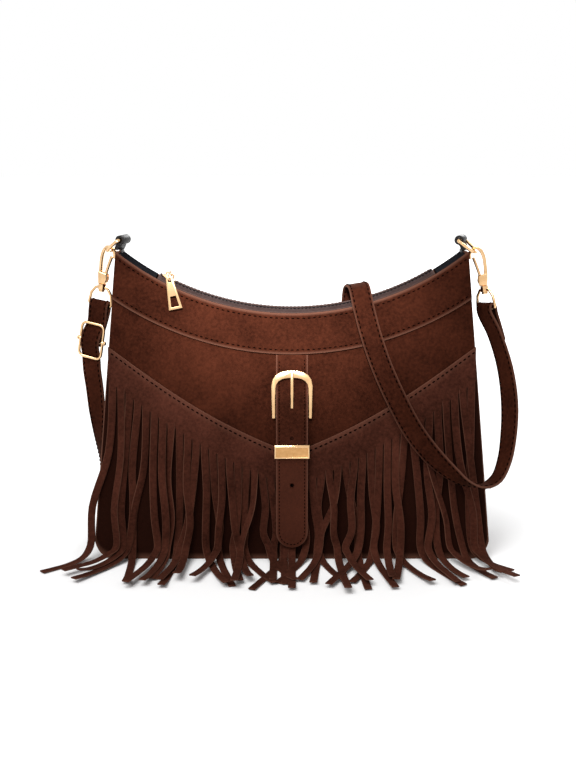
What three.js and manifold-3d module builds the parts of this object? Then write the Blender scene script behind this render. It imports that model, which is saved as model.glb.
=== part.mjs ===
// Fringed suede shoulder bag: zipped curved mouth, V-cut fringe, buckled tab and a clip-on strap.
// Millimetres, +Z up, front towards -Y. The origin is the centre of the base's underside.
import * as THREE from "three";
import { mergeVertices } from "three/addons/utils/BufferGeometryUtils.js";
import Module from "manifold-3d";

const wasm = await Module();
wasm.setup();

// Bag body
const BASE_WIDTH = 300;
const TOP_WIDTH = 265;
const CORNER_HEIGHT = 233;
const MOUTH_SAG = 47;
const BASE_DEPTH = 80;
const MOUTH_DEPTH = 24;
const BELLY = 5;
const BASE_CORNER = 14;
const PANEL = 1.6;
const CLEAR = 0.3;

// Yoke band along the mouth
const YOKE_WIDTH = 30;
const YOKE_THICK = 1.6;

// Fringe
const SEAM_LOW = 81;
const SEAM_HIGH = 162;
const SEAM_BOW = 7;
const SEAM_ROUND = 6;
const FRINGE_WIDTH = 278;
const FRINGE_THICK = 1.2;
const FRINGE_GAP = 0.5;
const BAND = 26;
const STRANDS = 44;
const SLIT = 0.6;
const STRAND_ROOT = 3;
const LAYER_GAP = 0.15;
const LAYERS = 4;
const FLOOR_RUN = 52;
const FLOOR_RUN_SPREAD = 22;
const SIDE_FLARE = 12;
const SWAY = 11;

// Zip
const ZIP_OPEN_END = -27;
const ZIP_CLOSED_END = 31;
const FACING_START = -29;
const FACING_THICK = 1.2;
const FACING_EDGE = 5.2;
const FACING_LIFT = 1.6;
const FACING_SINK = 1;
const TAPE_THICK = 0.6;
const TAPE_EDGE = 9.6;
const ROW_WIDTH = 2.2;
const ROW_HEIGHT = 2.2;
const ROW_GAP = 0.2;
const END_TAPE_LIFT = 2;
const SLIDER_LENGTH = 11;
const SLIDER_WIDTH = 8.6;
const SLIDER_PLATE = 1.2;
const SLIDER_LIP = 0.8;
const NECK_WIDTH = 2.4;
const NECK_LENGTH = 2.4;
const BRIDGE_LENGTH = 7.2;
const BRIDGE_HEIGHT = 3.4;
const BRIDGE_WIDTH = 2.2;
const BRIDGE_THICK = 1.1;
const LINK_WIRE = 1.1;
const LINK_SPAN = 3.8;
const LINK_TILT = 4;
const PULL_SET_OUT = 16.8;
const PULL_LENGTH = 25;
const PULL_TOP_WIDTH = 5;
const PULL_BOTTOM_WIDTH = 10.5;
const PULL_THICK = 1.6;
const PULL_LEAN = 8;
const PULL_ROLL = -39;
const PULL_RIM = 2;
const PULL_WINDOW = 8;

// Buckled tab
const TONGUE_WIDTH = 24;
const TONGUE_THICK = 1.4;
const TONGUE_TIP = 11;
const BAR_HEIGHT = 110.3;
const BAR_SET_OUT = 3.8;
const BAR_RADIUS = 1.2;
const BUCKLE_HEIGHT = 35;
const BUCKLE_THICK = 2.8;
const BUCKLE_LEG = 3.2;
const BUCKLE_CROWN = 6;
const PRONG_WIDTH = 2.2;
const PRONG_THICK = 1.6;
const CHAPE_WIDTH = 20;
const CHAPE_SLOT = 4.4;
const CHAPE_LOOP = 1.4;
const KEEPER_LOW = 79.8;
const KEEPER_HEIGHT = 9;
const KEEPER_WALL = 0.9;
const TONGUE_HOLE = 3;
const TONGUE_HOLES = [94.6, 58.9];

// Strap hardware at each top corner
const CHAIN_YAW = -20;
const TAB_SET_IN = 3.5;
const TAB_RISE = 7.5;
const TAB_WIDTH = 12;
const TAB_THICK = 1.6;
const TAB_BORE = 2;
const RING_WIRE = 2.4;
const RING_WIDTH = 18;
const RING_REACH = 15;
const RING_TILT = 38;
const RING_CORNER = 2;
const HOOK_BAR = 2.4;
const HOOK_DEPTH = 3;
const HOOK_LEAN = 8;
const HOOK_HANG_OUT = -3.5;
const HOOK_HANG_HEIGHT = 25.7;
const HOOK_CHEEK = 5;
const GATE_BAR = 2;
const GATE_DEPTH = 2.2;
const GATE_PIN = 0.9;
const GATE_PIVOT_OUT = -1.8;
const GATE_PIVOT_HEIGHT = 5;
const POST_RADIUS = 1.3;
const COLLAR_RADIUS = 3;
const COLLAR_HEIGHT = 4.4;
const POST_HEAD = 1.4;
const EYE_WIRE = 2;
const EYE_HEIGHT = 17;
const RIGHT_EYE_TURN = -35;

// Strap and its adjuster
const STRAP_WIDTH = 16;
const STRAP_ROOM = 0.6;
const STRAP_THICK = 2;
const ADJUSTER_CENTRE = [-155.5, 6, 162];
const ADJUSTER_ROLL = 10;
const ADJUSTER_HEIGHT = 29;
const ADJUSTER_WIRE = 2;
const ADJUSTER_BAR_RADIUS = 1.1;
const ADJUSTER_KNOB = 1.8;

// Strap route: a point on its middle line, and the direction across it there.
const STRAP_ROUTE = [
  [-155.26, 8.68, 158.06, 0.925, -0.337, -0.174],
  [-153.82, 8.58, 165.94, 0.925, -0.337, -0.174],
  [-150.8, 9.6, 175.1, 0.925, -0.337, -0.174],
  [-147.8, 10.1, 185.8, 0.93, -0.339, -0.139],
  [-147.3, 9.9, 189.8, 0.93, -0.339, -0.139],
  [-147.2, 9.2, 191.8, 0.93, -0.339, -0.139],
  [-147.9, 7.2, 192.7, 0.93, -0.339, -0.139],
  [-148.8, 5.2, 191.8, 0.93, -0.339, -0.139],
  [-149.2, 4.6, 189.8, 0.93, -0.339, -0.139],
  [-149.8, 4.8, 185.8, 0.93, -0.339, -0.139],
  [-151.5, 7.5, 175.1, 0.925, -0.337, -0.174],
  [-154.5, 5.3, 168.9, 0.925, -0.337, -0.174],
  [-156.5, 3.3, 162, 0.925, -0.337, -0.174],
  [-156.8, 6.1, 155.1, 0.925, -0.337, -0.174],
  [-156.7, 9.5, 148.7, 0.925, -0.337, -0.174],
  [-156.4, 9.8, 138, 0.92, -0.36, -0.1],
  [-154.8, 9.5, 124, 0.92, -0.39, 0],
  [-153.6, 10, 106, 0.88, -0.47, 0],
  [-152.8, 13, 85, 0.65, -0.76, 0],
  [-152.6, 20, 62, 0.25, -0.97, 0],
  [-153.2, 31, 39, 0.08, -0.99, 0],
  [-153, 46.5, 18, 0.05, -0.99, -0.08],
  [-147.5, 55, 6.5, 0.03, -0.99, -0.05],
  [-131, 57, 2.2, 0, -1, 0],
  [-90, 56.5, 1.5, 0, -1, 0],
  [-45, 56.5, 1.5, 0, -1, 0],
  [0, 56, 2, 0, -1, 0],
  [22, 55, 7, 0.05, -1, -0.05],
  [36, 53, 19, 0.15, -0.97, -0.12],
  [42, 49.5, 38, 0.5, -0.86, 0],
  [43.5, 43.2, 62, 0.85, -0.5, 0],
  [44, 34.6, 92, 1, 0, 0],
  [45, 27, 130, 1, 0, 0],
  [46, 21.8, 165, 1, 0, 0],
  [46.5, 18.8, 186, 1, 0, 0],
  [47.2, 16.2, 198, 1, 0, 0.05],
  [48.2, 9.5, 204.5, 1, 0.03, 0.12],
  [49.5, 0, 206.4, 1, 0.06, 0.18],
  [50.4, -11.5, 206.6, 0.98, 0.05, 0.2],
  [51.2, -19.5, 204, 0.98, 0.03, 0.22],
  [52.6, -24, 197, 0.97, 0.02, 0.25],
  [55, -25.8, 187, 0.96, 0, 0.28],
  [59.6, -27.4, 170.6, 0.95, 0, 0.32],
  [68.2, -29.2, 146.4, 0.92, 0, 0.38],
  [79.2, -33.8, 122.6, 0.89, 0, 0.46],
  [91.2, -39.4, 101, 0.83, -0.06, 0.55],
  [104.8, -44, 83.8, 0.74, -0.28, 0.61],
  [118.4, -47.4, 71.5, 0.55, -0.6, 0.58],
  [131.2, -50.6, 63.6, 0.3, -0.88, 0.36],
  [143.5, -51.6, 61.6, 0.1, -0.98, 0.12],
  [153, -50, 66.5, 0.2, -0.97, -0.1],
  [159.6, -44.5, 79, 0.42, -0.9, -0.1],
  [163.6, -36, 98, 0.6, -0.8, 0],
  [164.8, -28, 120, 0.66, -0.75, 0],
  [161.6, -20.4, 146, 0.62, -0.78, 0.06],
  [153.6, -14, 171.4, 0.57, -0.82, 0.11],
  [146.7, -9.2, 185.6, 0.566, -0.816, 0.114],
  [145.9, -9, 189.6, 0.566, -0.816, 0.114],
  [146.3, -8.4, 191.7, 0.566, -0.816, 0.114],
  [147.9, -7.2, 192.7, 0.566, -0.816, 0.114],
  [149.7, -6, 191.9, 0.566, -0.816, 0.114],
  [150.7, -5.6, 190, 0.566, -0.816, 0.114],
  [151.7, -5.6, 185.1, 0.566, -0.816, 0.114],
  [154.8, -7.2, 175, 0.57, -0.82, 0.11],
  [157.8, -9, 164.4, 0.57, -0.82, 0.11],
];

// Finishes: colour, roughness, metalness
const SUEDE = [0x4a2518, 0.95, 0];
const FACING = [0x55332c, 0.9, 0];
const BLACK_LEATHER = [0x1a1513, 0.6, 0];
const ZIP_BLACK = [0x18171a, 0.5, 0.1];
const GOLD = [0xe0b070, 0.28, 1];

const bag = new THREE.Group();
const lerp = THREE.MathUtils.lerp;
const clamp = THREE.MathUtils.clamp;
const radians = THREE.MathUtils.degToRad;
const steps = (count) => Array.from({ length: count + 1 }, (_, i) => i / count);
const crowdedEnds = (count) => steps(count).map((t) => Math.sin((t - 0.5) * Math.PI));
const between = (from, to, count) => steps(count).map((t) => lerp(from, to, t));

function addMesh(parent, name, geometry, [color, roughness, metalness]) {
  const mesh = new THREE.Mesh(geometry, new THREE.MeshStandardMaterial({ color, roughness, metalness }));
  mesh.name = name;
  parent.add(mesh);
  return mesh;
}

// Solids for joining and cutting
const MERGE = 1e-4;
const TIDY = 0.02;

function toSolid(geometry) {
  const bare = geometry.index ? geometry.toNonIndexed() : geometry.clone();
  bare.deleteAttribute("normal");
  bare.deleteAttribute("uv");
  const merged = mergeVertices(bare, MERGE);
  const vertProperties = merged.getAttribute("position").array;
  const triVerts = new Uint32Array(merged.index.array);
  return new wasm.Manifold(new wasm.Mesh({ numProp: 3, vertProperties, triVerts }));
}

function toGeometry(solid) {
  const mesh = solid.simplify(TIDY).getMesh();
  const geometry = new THREE.BufferGeometry();
  geometry.setAttribute("position", new THREE.BufferAttribute(mesh.vertProperties, 3));
  geometry.setIndex(new THREE.BufferAttribute(mesh.triVerts, 1));
  geometry.computeVertexNormals();
  return geometry;
}

function join(...geometries) {
  const [first, ...others] = geometries.map(toSolid);
  return toGeometry(others.reduce((whole, piece) => whole.add(piece), first));
}

function cut(geometry, ...tools) {
  return toGeometry(tools.map(toSolid).reduce((whole, tool) => whole.subtract(tool), toSolid(geometry)));
}

// A closed geometry from points and triangles, turned so that its faces point out.
function closedGeometry(points, triangles) {
  const [a, b, c] = [new THREE.Vector3(), new THREE.Vector3(), new THREE.Vector3()];
  const volume = triangles.reduce((sum, [i, j, k]) => {
    a.copy(points[i]);
    b.copy(points[j]);
    c.copy(points[k]);
    return sum + a.dot(b.cross(c));
  }, 0);
  const facing = volume < 0 ? triangles.map(([i, j, k]) => [i, k, j]) : triangles;
  const geometry = new THREE.BufferGeometry().setFromPoints(points);
  geometry.setIndex(facing.flat());
  geometry.computeVertexNormals();
  return geometry;
}

// A sheet between an outer and an inner face, each a function of two values, closed round its edge.
function sheet(us, vs, outer, inner) {
  const faces = [outer, inner].map((face) => us.flatMap((u) => vs.map((v) => face(u, v))));
  const points = faces.flat();
  const half = us.length * vs.length;
  const at = (i, j) => i * vs.length + j;
  const triangles = [];
  const quad = (p, q, r, s) => triangles.push([p, q, r], [p, r, s]);
  for (let i = 0; i + 1 < us.length; i++) {
    for (let j = 0; j + 1 < vs.length; j++) {
      quad(at(i, j), at(i + 1, j), at(i + 1, j + 1), at(i, j + 1));
      quad(half + at(i, j), half + at(i, j + 1), half + at(i + 1, j + 1), half + at(i + 1, j));
    }
  }
  const last = vs.length - 1;
  const end = us.length - 1;
  for (let i = 0; i < end; i++) {
    quad(at(i, 0), half + at(i, 0), half + at(i + 1, 0), at(i + 1, 0));
    quad(at(i, last), at(i + 1, last), half + at(i + 1, last), half + at(i, last));
  }
  for (let j = 0; j < last; j++) {
    quad(at(0, j), at(0, j + 1), half + at(0, j + 1), half + at(0, j));
    quad(at(end, j), half + at(end, j), half + at(end, j + 1), at(end, j + 1));
  }
  return closedGeometry(points, triangles);
}

// A loft through rings of equally many points, capped at both ends.
function loft(rings) {
  const count = rings[0].length;
  const triangles = [];
  for (let i = 0; i + 1 < rings.length; i++) {
    for (let j = 0; j < count; j++) {
      const next = (j + 1) % count;
      const low = i * count;
      const high = low + count;
      triangles.push([low + j, low + next, high + next], [low + j, high + next, high + j]);
    }
  }
  const top = (rings.length - 1) * count;
  for (let j = 1; j + 1 < count; j++) {
    triangles.push([0, j + 1, j], [top, top + j, top + j + 1]);
  }
  return closedGeometry(rings.flat(), triangles);
}

// A bar of one width along a flat line, with chamfered edges, lying in XY with its depth centred on Z.
function flatBar(points, width, depth, chamfer, closed = false) {
  const count = points.length;
  const sideLine = (distance) =>
    points.map((point, i) => {
      const before = points[closed ? (i + count - 1) % count : Math.max(i - 1, 0)];
      const after = points[closed ? (i + 1) % count : Math.min(i + 1, count - 1)];
      const along = after.clone().sub(before).normalize();
      return new THREE.Vector2(point.x - along.y * distance, point.y + along.x * distance);
    });
  const left = sideLine(width / 2);
  const right = sideLine(-width / 2);
  if (!closed) return extrude(new THREE.Shape([...left, ...right.reverse()]), depth, chamfer);
  const size = (line) => Math.abs(THREE.ShapeUtils.area(line));
  const [outer, inner] = size(left) > size(right) ? [left, right] : [right, left];
  return extrude(withHole(outer, inner), depth, chamfer);
}

// An outline running anticlockwise with a hole in it running clockwise.
function withHole(outer, inner) {
  const { isClockWise } = THREE.ShapeUtils;
  const shape = new THREE.Shape(isClockWise(outer) ? outer.toReversed() : outer);
  shape.holes.push(new THREE.Path(isClockWise(inner) ? inner : inner.toReversed()));
  return shape;
}

function extrude(shape, depth, chamfer = 0) {
  const geometry = new THREE.ExtrudeGeometry(shape, {
    depth: depth - 2 * chamfer,
    bevelEnabled: chamfer > 0,
    bevelThickness: chamfer,
    bevelSize: chamfer,
    bevelOffset: -chamfer,
    bevelSegments: 1,
    curveSegments: 5,
  });
  return geometry.translate(0, 0, chamfer - depth / 2);
}

// Stands a flat outline up, so that its Y points up and its depth runs front to back.
const upright = (geometry) => geometry.rotateX(Math.PI / 2);
const box = (x, y, z, at) => new THREE.BoxGeometry(x, y, z).translate(...at);

function rod(radius, length, axis, at, sides = 10) {
  const geometry = new THREE.CylinderGeometry(radius, radius, length, sides);
  if (axis === "x") geometry.rotateZ(Math.PI / 2);
  if (axis === "z") geometry.rotateX(Math.PI / 2);
  return geometry.translate(...at);
}

function openPath(path, divisions) {
  const points = path.getPoints(divisions);
  if (points[0].distanceTo(points.at(-1)) < MERGE) points.pop();
  return points.filter((point, i) => i === 0 || point.distanceTo(points[i - 1]) > MERGE);
}

const smooth = (pairs, count) =>
  new THREE.SplineCurve(pairs.map(([x, y]) => new THREE.Vector2(x, y))).getSpacedPoints(count);

// The bag's outline: u runs across it from -1 to 1, and v up it from the base to the mouth.
const halfBase = BASE_WIDTH / 2;
const halfTop = TOP_WIDTH / 2;
const mouthRadius = (halfTop ** 2 + MOUTH_SAG ** 2) / (2 * MOUTH_SAG);
const mouthCentre = CORNER_HEIGHT - MOUTH_SAG + mouthRadius;
const arcHeight = (x, radius) => mouthCentre - Math.sqrt(radius ** 2 - x ** 2);
const mouthHeight = (x) => arcHeight(x, mouthRadius);

function hemHeight(x) {
  const past = clamp(Math.abs(x) - (halfBase - BASE_CORNER), 0, BASE_CORNER);
  return BASE_CORNER - Math.sqrt(BASE_CORNER ** 2 - past ** 2);
}

function outline(u, v) {
  const x = u * lerp(halfBase, halfTop, v);
  return { x, z: lerp(hemHeight(u * halfBase), mouthHeight(u * halfTop), v) };
}

function halfDepth(u, v) {
  return lerp(BASE_DEPTH, MOUTH_DEPTH, v) / 2 + BELLY * Math.sin(Math.PI * v) * (1 - u ** 2);
}

// The wall's half depth at a place given by its x and height.
function wallDepth(x, z) {
  let u = 0;
  let v = 0.5;
  for (let round = 0; round < 8; round++) {
    u = clamp(x / lerp(halfBase, halfTop, v), -1, 1);
    const low = hemHeight(u * halfBase);
    v = clamp((z - low) / (mouthHeight(u * halfTop) - low), 0, 1);
  }
  return halfDepth(u, v);
}

// A point a given distance in front of the front wall (side -1) or behind the back wall (side 1).
const onWall = (x, z, out, side = -1) => new THREE.Vector3(x, side * (wallDepth(x, z) + out), z);

// Front and back panels, and the gusset that runs down, under and up between them
const PANEL_COLUMNS = 16;
const PANEL_ROWS = 6;
const SIDE_ROWS = 6;

function makePanel(name, side) {
  const face = (setBack) => (u, v) => {
    const { x, z } = outline(u, v);
    return new THREE.Vector3(x, side * (halfDepth(u, v) - setBack), z);
  };
  addMesh(bag, name, sheet(crowdedEnds(PANEL_COLUMNS), steps(PANEL_ROWS), face(0), face(PANEL)), SUEDE);
}

function makeGusset() {
  const side = steps(SIDE_ROWS).slice(1);
  const path = [
    ...side.toReversed().map((v) => outline(-1, v)),
    ...crowdedEnds(PANEL_COLUMNS).map((u) => outline(u, 0)),
    ...side.map((v) => outline(1, v)),
  ];
  const place = (setIn) => (i, w) => {
    const before = path[Math.max(i - 1, 0)];
    const after = path[Math.min(i + 1, path.length - 1)];
    const along = new THREE.Vector2(after.x - before.x, after.z - before.z).normalize();
    const x = path[i].x - along.y * setIn;
    const z = path[i].z + along.x * setIn;
    return new THREE.Vector3(x, w * (wallDepth(x, z) - PANEL - CLEAR), z);
  };
  addMesh(bag, "gusset", sheet([...path.keys()], [-1, 0, 1], place(0), place(PANEL)), SUEDE);
}

// Yoke bands: between the mouth's arc and one concentric with it
const yokeRadius = mouthRadius + YOKE_WIDTH;

function yokeSideHalfWidth() {
  let half = halfTop;
  for (let round = 0; round < 20; round++) {
    const v = (arcHeight(half, yokeRadius) - BASE_CORNER) / (CORNER_HEIGHT - BASE_CORNER);
    half = lerp(halfBase, halfTop, v);
  }
  return half;
}

function makeYoke(name, side) {
  const low = yokeSideHalfWidth();
  const face = (out) => (u, w) => {
    const z = lerp(mouthHeight(u * halfTop), arcHeight(u * low, yokeRadius), w);
    return onWall(u * lerp(halfTop, low, w), z, out, side);
  };
  addMesh(bag, name, sheet(crowdedEnds(PANEL_COLUMNS), steps(2), face(CLEAR + YOKE_THICK), face(CLEAR)), SUEDE);
}

// Fringe: a band sewn along the V seam, slit into strands that drape down the front and out over the floor
const fringeMid = FRINGE_GAP + FRINGE_THICK / 2;
const vary = (strand, draw) => {
  const wave = Math.sin(strand * 12.9898 + draw * 78.233) * 43758.5453;
  return 2 * (wave - Math.floor(wave)) - 1;
};

function seamHeight(x) {
  const half = FRINGE_WIDTH / 2;
  const along = Math.hypot(x, SEAM_ROUND) / Math.hypot(half, SEAM_ROUND);
  return lerp(SEAM_LOW, SEAM_HIGH, along) - SEAM_BOW * Math.sin(Math.PI * along);
}

function fringeBand() {
  const face = (out) => (x, w) => onWall(x, seamHeight(x) - BAND * w, out);
  const xs = between(-FRINGE_WIDTH / 2, FRINGE_WIDTH / 2, 16);
  return sheet(xs, steps(1), face(FRINGE_GAP + FRINGE_THICK), face(FRINGE_GAP));
}

// Middle line of one strand: down the wall, round the foot of the bag and out along the floor.
function strandLine(strand) {
  const pitch = FRINGE_WIDTH / STRANDS;
  const x = (strand + 0.5) * pitch - FRINGE_WIDTH / 2;
  const reach = x / (FRINGE_WIDTH / 2);
  const top = seamHeight(x) - BAND + STRAND_ROOT;
  const middle = Math.abs(x) < TONGUE_WIDTH;
  const sway = SIDE_FLARE * reach ** 3 + SWAY * vary(strand, 1) * (middle ? 0.4 : 1);
  const layer = middle ? 0 : (strand * 3) % LAYERS;
  const lift = layer * (FRINGE_THICK + LAYER_GAP);
  const heading = 0.45 * vary(strand, 2) + 0.75 * reach ** 3;
  const run = FLOOR_RUN + FLOOR_RUN_SPREAD * vary(strand, 3) * 0.5 - 16 * Math.abs(reach);
  const bulge = middle ? 0 : 1.2 * (1 + vary(strand, 4));
  const foot = x + sway;
  const front = BASE_DEPTH / 2 + fringeMid + lift;
  const rest = FRINGE_THICK / 2 + CLEAR + lift;
  const onFloor = (far, height) =>
    new THREE.Vector3(foot + far * Math.sin(heading), -front - far * Math.cos(heading), height);
  const bend = foot + 4 * vary(strand, 5);
  const points = [
    onWall(x, top, fringeMid),
    onWall(x, top - STRAND_ROOT - 4, fringeMid),
    onWall(lerp(x, foot, 0.3) + 2 * vary(strand, 6), lerp(top, 0, 0.4), fringeMid + lift + bulge),
    onWall(lerp(x, bend, 0.75), lerp(top, 0, 0.7), fringeMid + lift + bulge),
    new THREE.Vector3(foot, -front - 0.4, 11),
    onFloor(7, rest + 2.6),
    onFloor(20, rest),
    onFloor(lerp(20, run, 0.55), rest),
    onFloor(run, rest + 1.5 * (1 + vary(strand, 7))),
  ];
  return { points, heading, twist: 0.35 * vary(strand, 8) };
}

const STRAND_STEPS = 8;

function strandSolid(strand) {
  const { points, heading, twist } = strandLine(strand);
  const curve = new THREE.CatmullRomCurve3(points, false, "centripetal");
  const half = (FRINGE_WIDTH / STRANDS - SLIT) / 2;
  const rings = steps(STRAND_STEPS).map((t) => {
    const centre = curve.getPoint(t);
    const along = curve.getTangent(t);
    const turn = heading * THREE.MathUtils.smoothstep(t, 0.4, 0.75);
    const across = new THREE.Vector3(Math.cos(turn), Math.sin(turn), 0);
    across.applyAxisAngle(along, twist * Math.sin(Math.PI * clamp(t * 1.6, 0, 1)));
    across.addScaledVector(along, -across.dot(along)).normalize();
    const out = new THREE.Vector3().crossVectors(along, across);
    out.multiplyScalar((FRINGE_THICK / 2) * (t === 0 ? 0.6 : 1));
    across.multiplyScalar(half);
    const corner = (a, b) => centre.clone().addScaledVector(across, a).addScaledVector(out, b);
    const ring = [corner(-1, -1), corner(1, -1), corner(1, 1), corner(-1, 1)];
    const inside = ring.map(({ x, y, z }) => y + wallDepth(x, z) + FRINGE_GAP);
    const push = t > 0 ? Math.max(0, ...inside) : 0;
    return ring.map((point) => point.setY(point.y - push));
  });
  const lowest = Math.min(...rings.flat().map((point) => point.z));
  const raise = Math.max(0, CLEAR - lowest);
  return loft(rings.map((ring) => ring.map((point) => (point.z < 9 ? point.setZ(point.z + raise) : point))));
}

function makeFringe() {
  const strands = Array.from({ length: STRANDS }, (_, strand) => strandSolid(strand));
  addMesh(bag, "fringe", join(fringeBand(), ...strands), SUEDE);
}

// Zip: facings, tapes with their rows, black ends, and the slider with its pull
const zipEdge = MOUTH_DEPTH / 2 - PANEL - CLEAR;
const cornerAngle = (Math.asin((halfTop - PANEL - 2 * CLEAR) / mouthRadius) * 180) / Math.PI;
const rowTop = FACING_LIFT - CLEAR - TAPE_THICK / 2 + ROW_HEIGHT / 2;
const rowBottom = rowTop - ROW_HEIGHT;

// A point on the zip: its angle along the mouth's arc, its y, and its height over that arc.
function onZip(angle, y, height) {
  const radius = mouthRadius - height;
  const turn = radians(angle);
  return new THREE.Vector3(radius * Math.sin(turn), y, mouthCentre - radius * Math.cos(turn));
}

const facingHeight = (y) => {
  const t = clamp((zipEdge - y) / (zipEdge - FACING_EDGE), 0, 1);
  return lerp(-FACING_SINK, FACING_LIFT, Math.sin((t * Math.PI) / 2));
};

function makeFacing(name, side) {
  const face = (lift) => (angle, y) => onZip(angle, side * y, facingHeight(y) + lift);
  const angles = between(FACING_START, ZIP_CLOSED_END, 14);
  addMesh(bag, name, sheet(angles, between(zipEdge, FACING_EDGE, 2), face(FACING_THICK), face(0)), FACING);
}

function makeZipRow(name, side) {
  const inner = ROW_GAP + ROW_WIDTH;
  const tapeTop = (y) => facingHeight(y) - CLEAR;
  const section = [
    [TAPE_EDGE, tapeTop(TAPE_EDGE), tapeTop(TAPE_EDGE) - TAPE_THICK],
    [FACING_EDGE, tapeTop(FACING_EDGE), tapeTop(FACING_EDGE) - TAPE_THICK],
    [inner + ROW_GAP, tapeTop(FACING_EDGE), tapeTop(FACING_EDGE) - TAPE_THICK],
    [inner, rowTop, rowBottom],
    [ROW_GAP, rowTop, rowBottom],
  ];
  const face = (pick) => (angle, i) => onZip(angle, side * section[i][0], section[i][pick]);
  const angles = between(ZIP_OPEN_END - 0.4, ZIP_CLOSED_END, 14);
  addMesh(bag, name, sheet(angles, [...section.keys()], face(1), face(2)), ZIP_BLACK);
}

function makeZipEnd(name, from, to) {
  const lift = (y) => END_TAPE_LIFT * Math.cos((y / zipEdge) * (Math.PI / 2));
  const face = (extra) => (angle, y) => onZip(angle, y, lift(y) + extra);
  const across = between(-zipEdge, zipEdge, 6);
  addMesh(bag, name, sheet(between(from, to, 4), across, face(0), face(-FACING_THICK)), ZIP_BLACK);
}

function makeSlider() {
  const group = new THREE.Group();
  group.position.copy(onZip(ZIP_OPEN_END, 0, 0));
  group.rotation.y = -radians(ZIP_OPEN_END);
  bag.add(group);
  const plateLow = rowTop + CLEAR;
  const plateTop = plateLow + SLIDER_PLATE;
  const half = SLIDER_WIDTH / 2;
  const long = SLIDER_LENGTH / 2;
  const plateOutline = new THREE.Shape();
  plateOutline.moveTo(-long, half * 0.55);
  plateOutline.quadraticCurveTo(-long, half, -long * 0.4, half);
  plateOutline.quadraticCurveTo(long * 0.5, half * 0.95, long, half * 0.7);
  plateOutline.lineTo(long, -half * 0.7);
  plateOutline.quadraticCurveTo(long * 0.5, -half * 0.95, -long * 0.4, -half);
  plateOutline.quadraticCurveTo(-long, -half, -long, -half * 0.55);
  plateOutline.closePath();
  const topPlate = extrude(plateOutline, SLIDER_PLATE, 0.3).translate(0, 0, plateLow + SLIDER_PLATE / 2);
  const underTop = rowBottom - CLEAR;
  const underPlate = extrude(plateOutline, 1).translate(0, 0, underTop - 0.5);
  const lipLow = FACING_LIFT;
  const lipHeight = plateLow - lipLow + 0.4;
  const lip = (side) =>
    box(long, SLIDER_LIP, lipHeight, [-0.6, side * (half - SLIDER_LIP / 2 - 0.2), lipLow + lipHeight / 2]);
  const neckHeight = plateTop - underTop;
  const neck = box(NECK_LENGTH, NECK_WIDTH, neckHeight, [
    -long + NECK_LENGTH / 2 + 0.6,
    0,
    underTop - 0.3 + neckHeight / 2,
  ]);
  const bridgeHalf = BRIDGE_LENGTH / 2;
  const bridgeOutline = new THREE.Shape();
  bridgeOutline.moveTo(-bridgeHalf, -0.4);
  bridgeOutline.lineTo(-bridgeHalf, BRIDGE_HEIGHT - 1.4);
  bridgeOutline.quadraticCurveTo(-bridgeHalf, BRIDGE_HEIGHT, -bridgeHalf + 1.6, BRIDGE_HEIGHT);
  bridgeOutline.lineTo(bridgeHalf - 1.6, BRIDGE_HEIGHT);
  bridgeOutline.quadraticCurveTo(bridgeHalf, BRIDGE_HEIGHT, bridgeHalf, BRIDGE_HEIGHT - 1.4);
  bridgeOutline.lineTo(bridgeHalf, -0.4);
  bridgeOutline.closePath();
  const bridgeRoom = BRIDGE_HEIGHT - BRIDGE_THICK;
  const bridge = upright(extrude(bridgeOutline, BRIDGE_WIDTH, 0.2)).translate(0, 0, plateTop);
  const underMiddle = [0, 0, plateTop + bridgeRoom / 2];
  const under = box(BRIDGE_LENGTH - 2 * BRIDGE_THICK, SLIDER_WIDTH, bridgeRoom, underMiddle);
  const body = join(topPlate, underPlate, lip(1), lip(-1), neck, cut(bridge, under));
  addMesh(group, "zip_slider", body, GOLD);
  makePull(group, plateTop + BRIDGE_HEIGHT - BRIDGE_THICK / 2);
}

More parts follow.
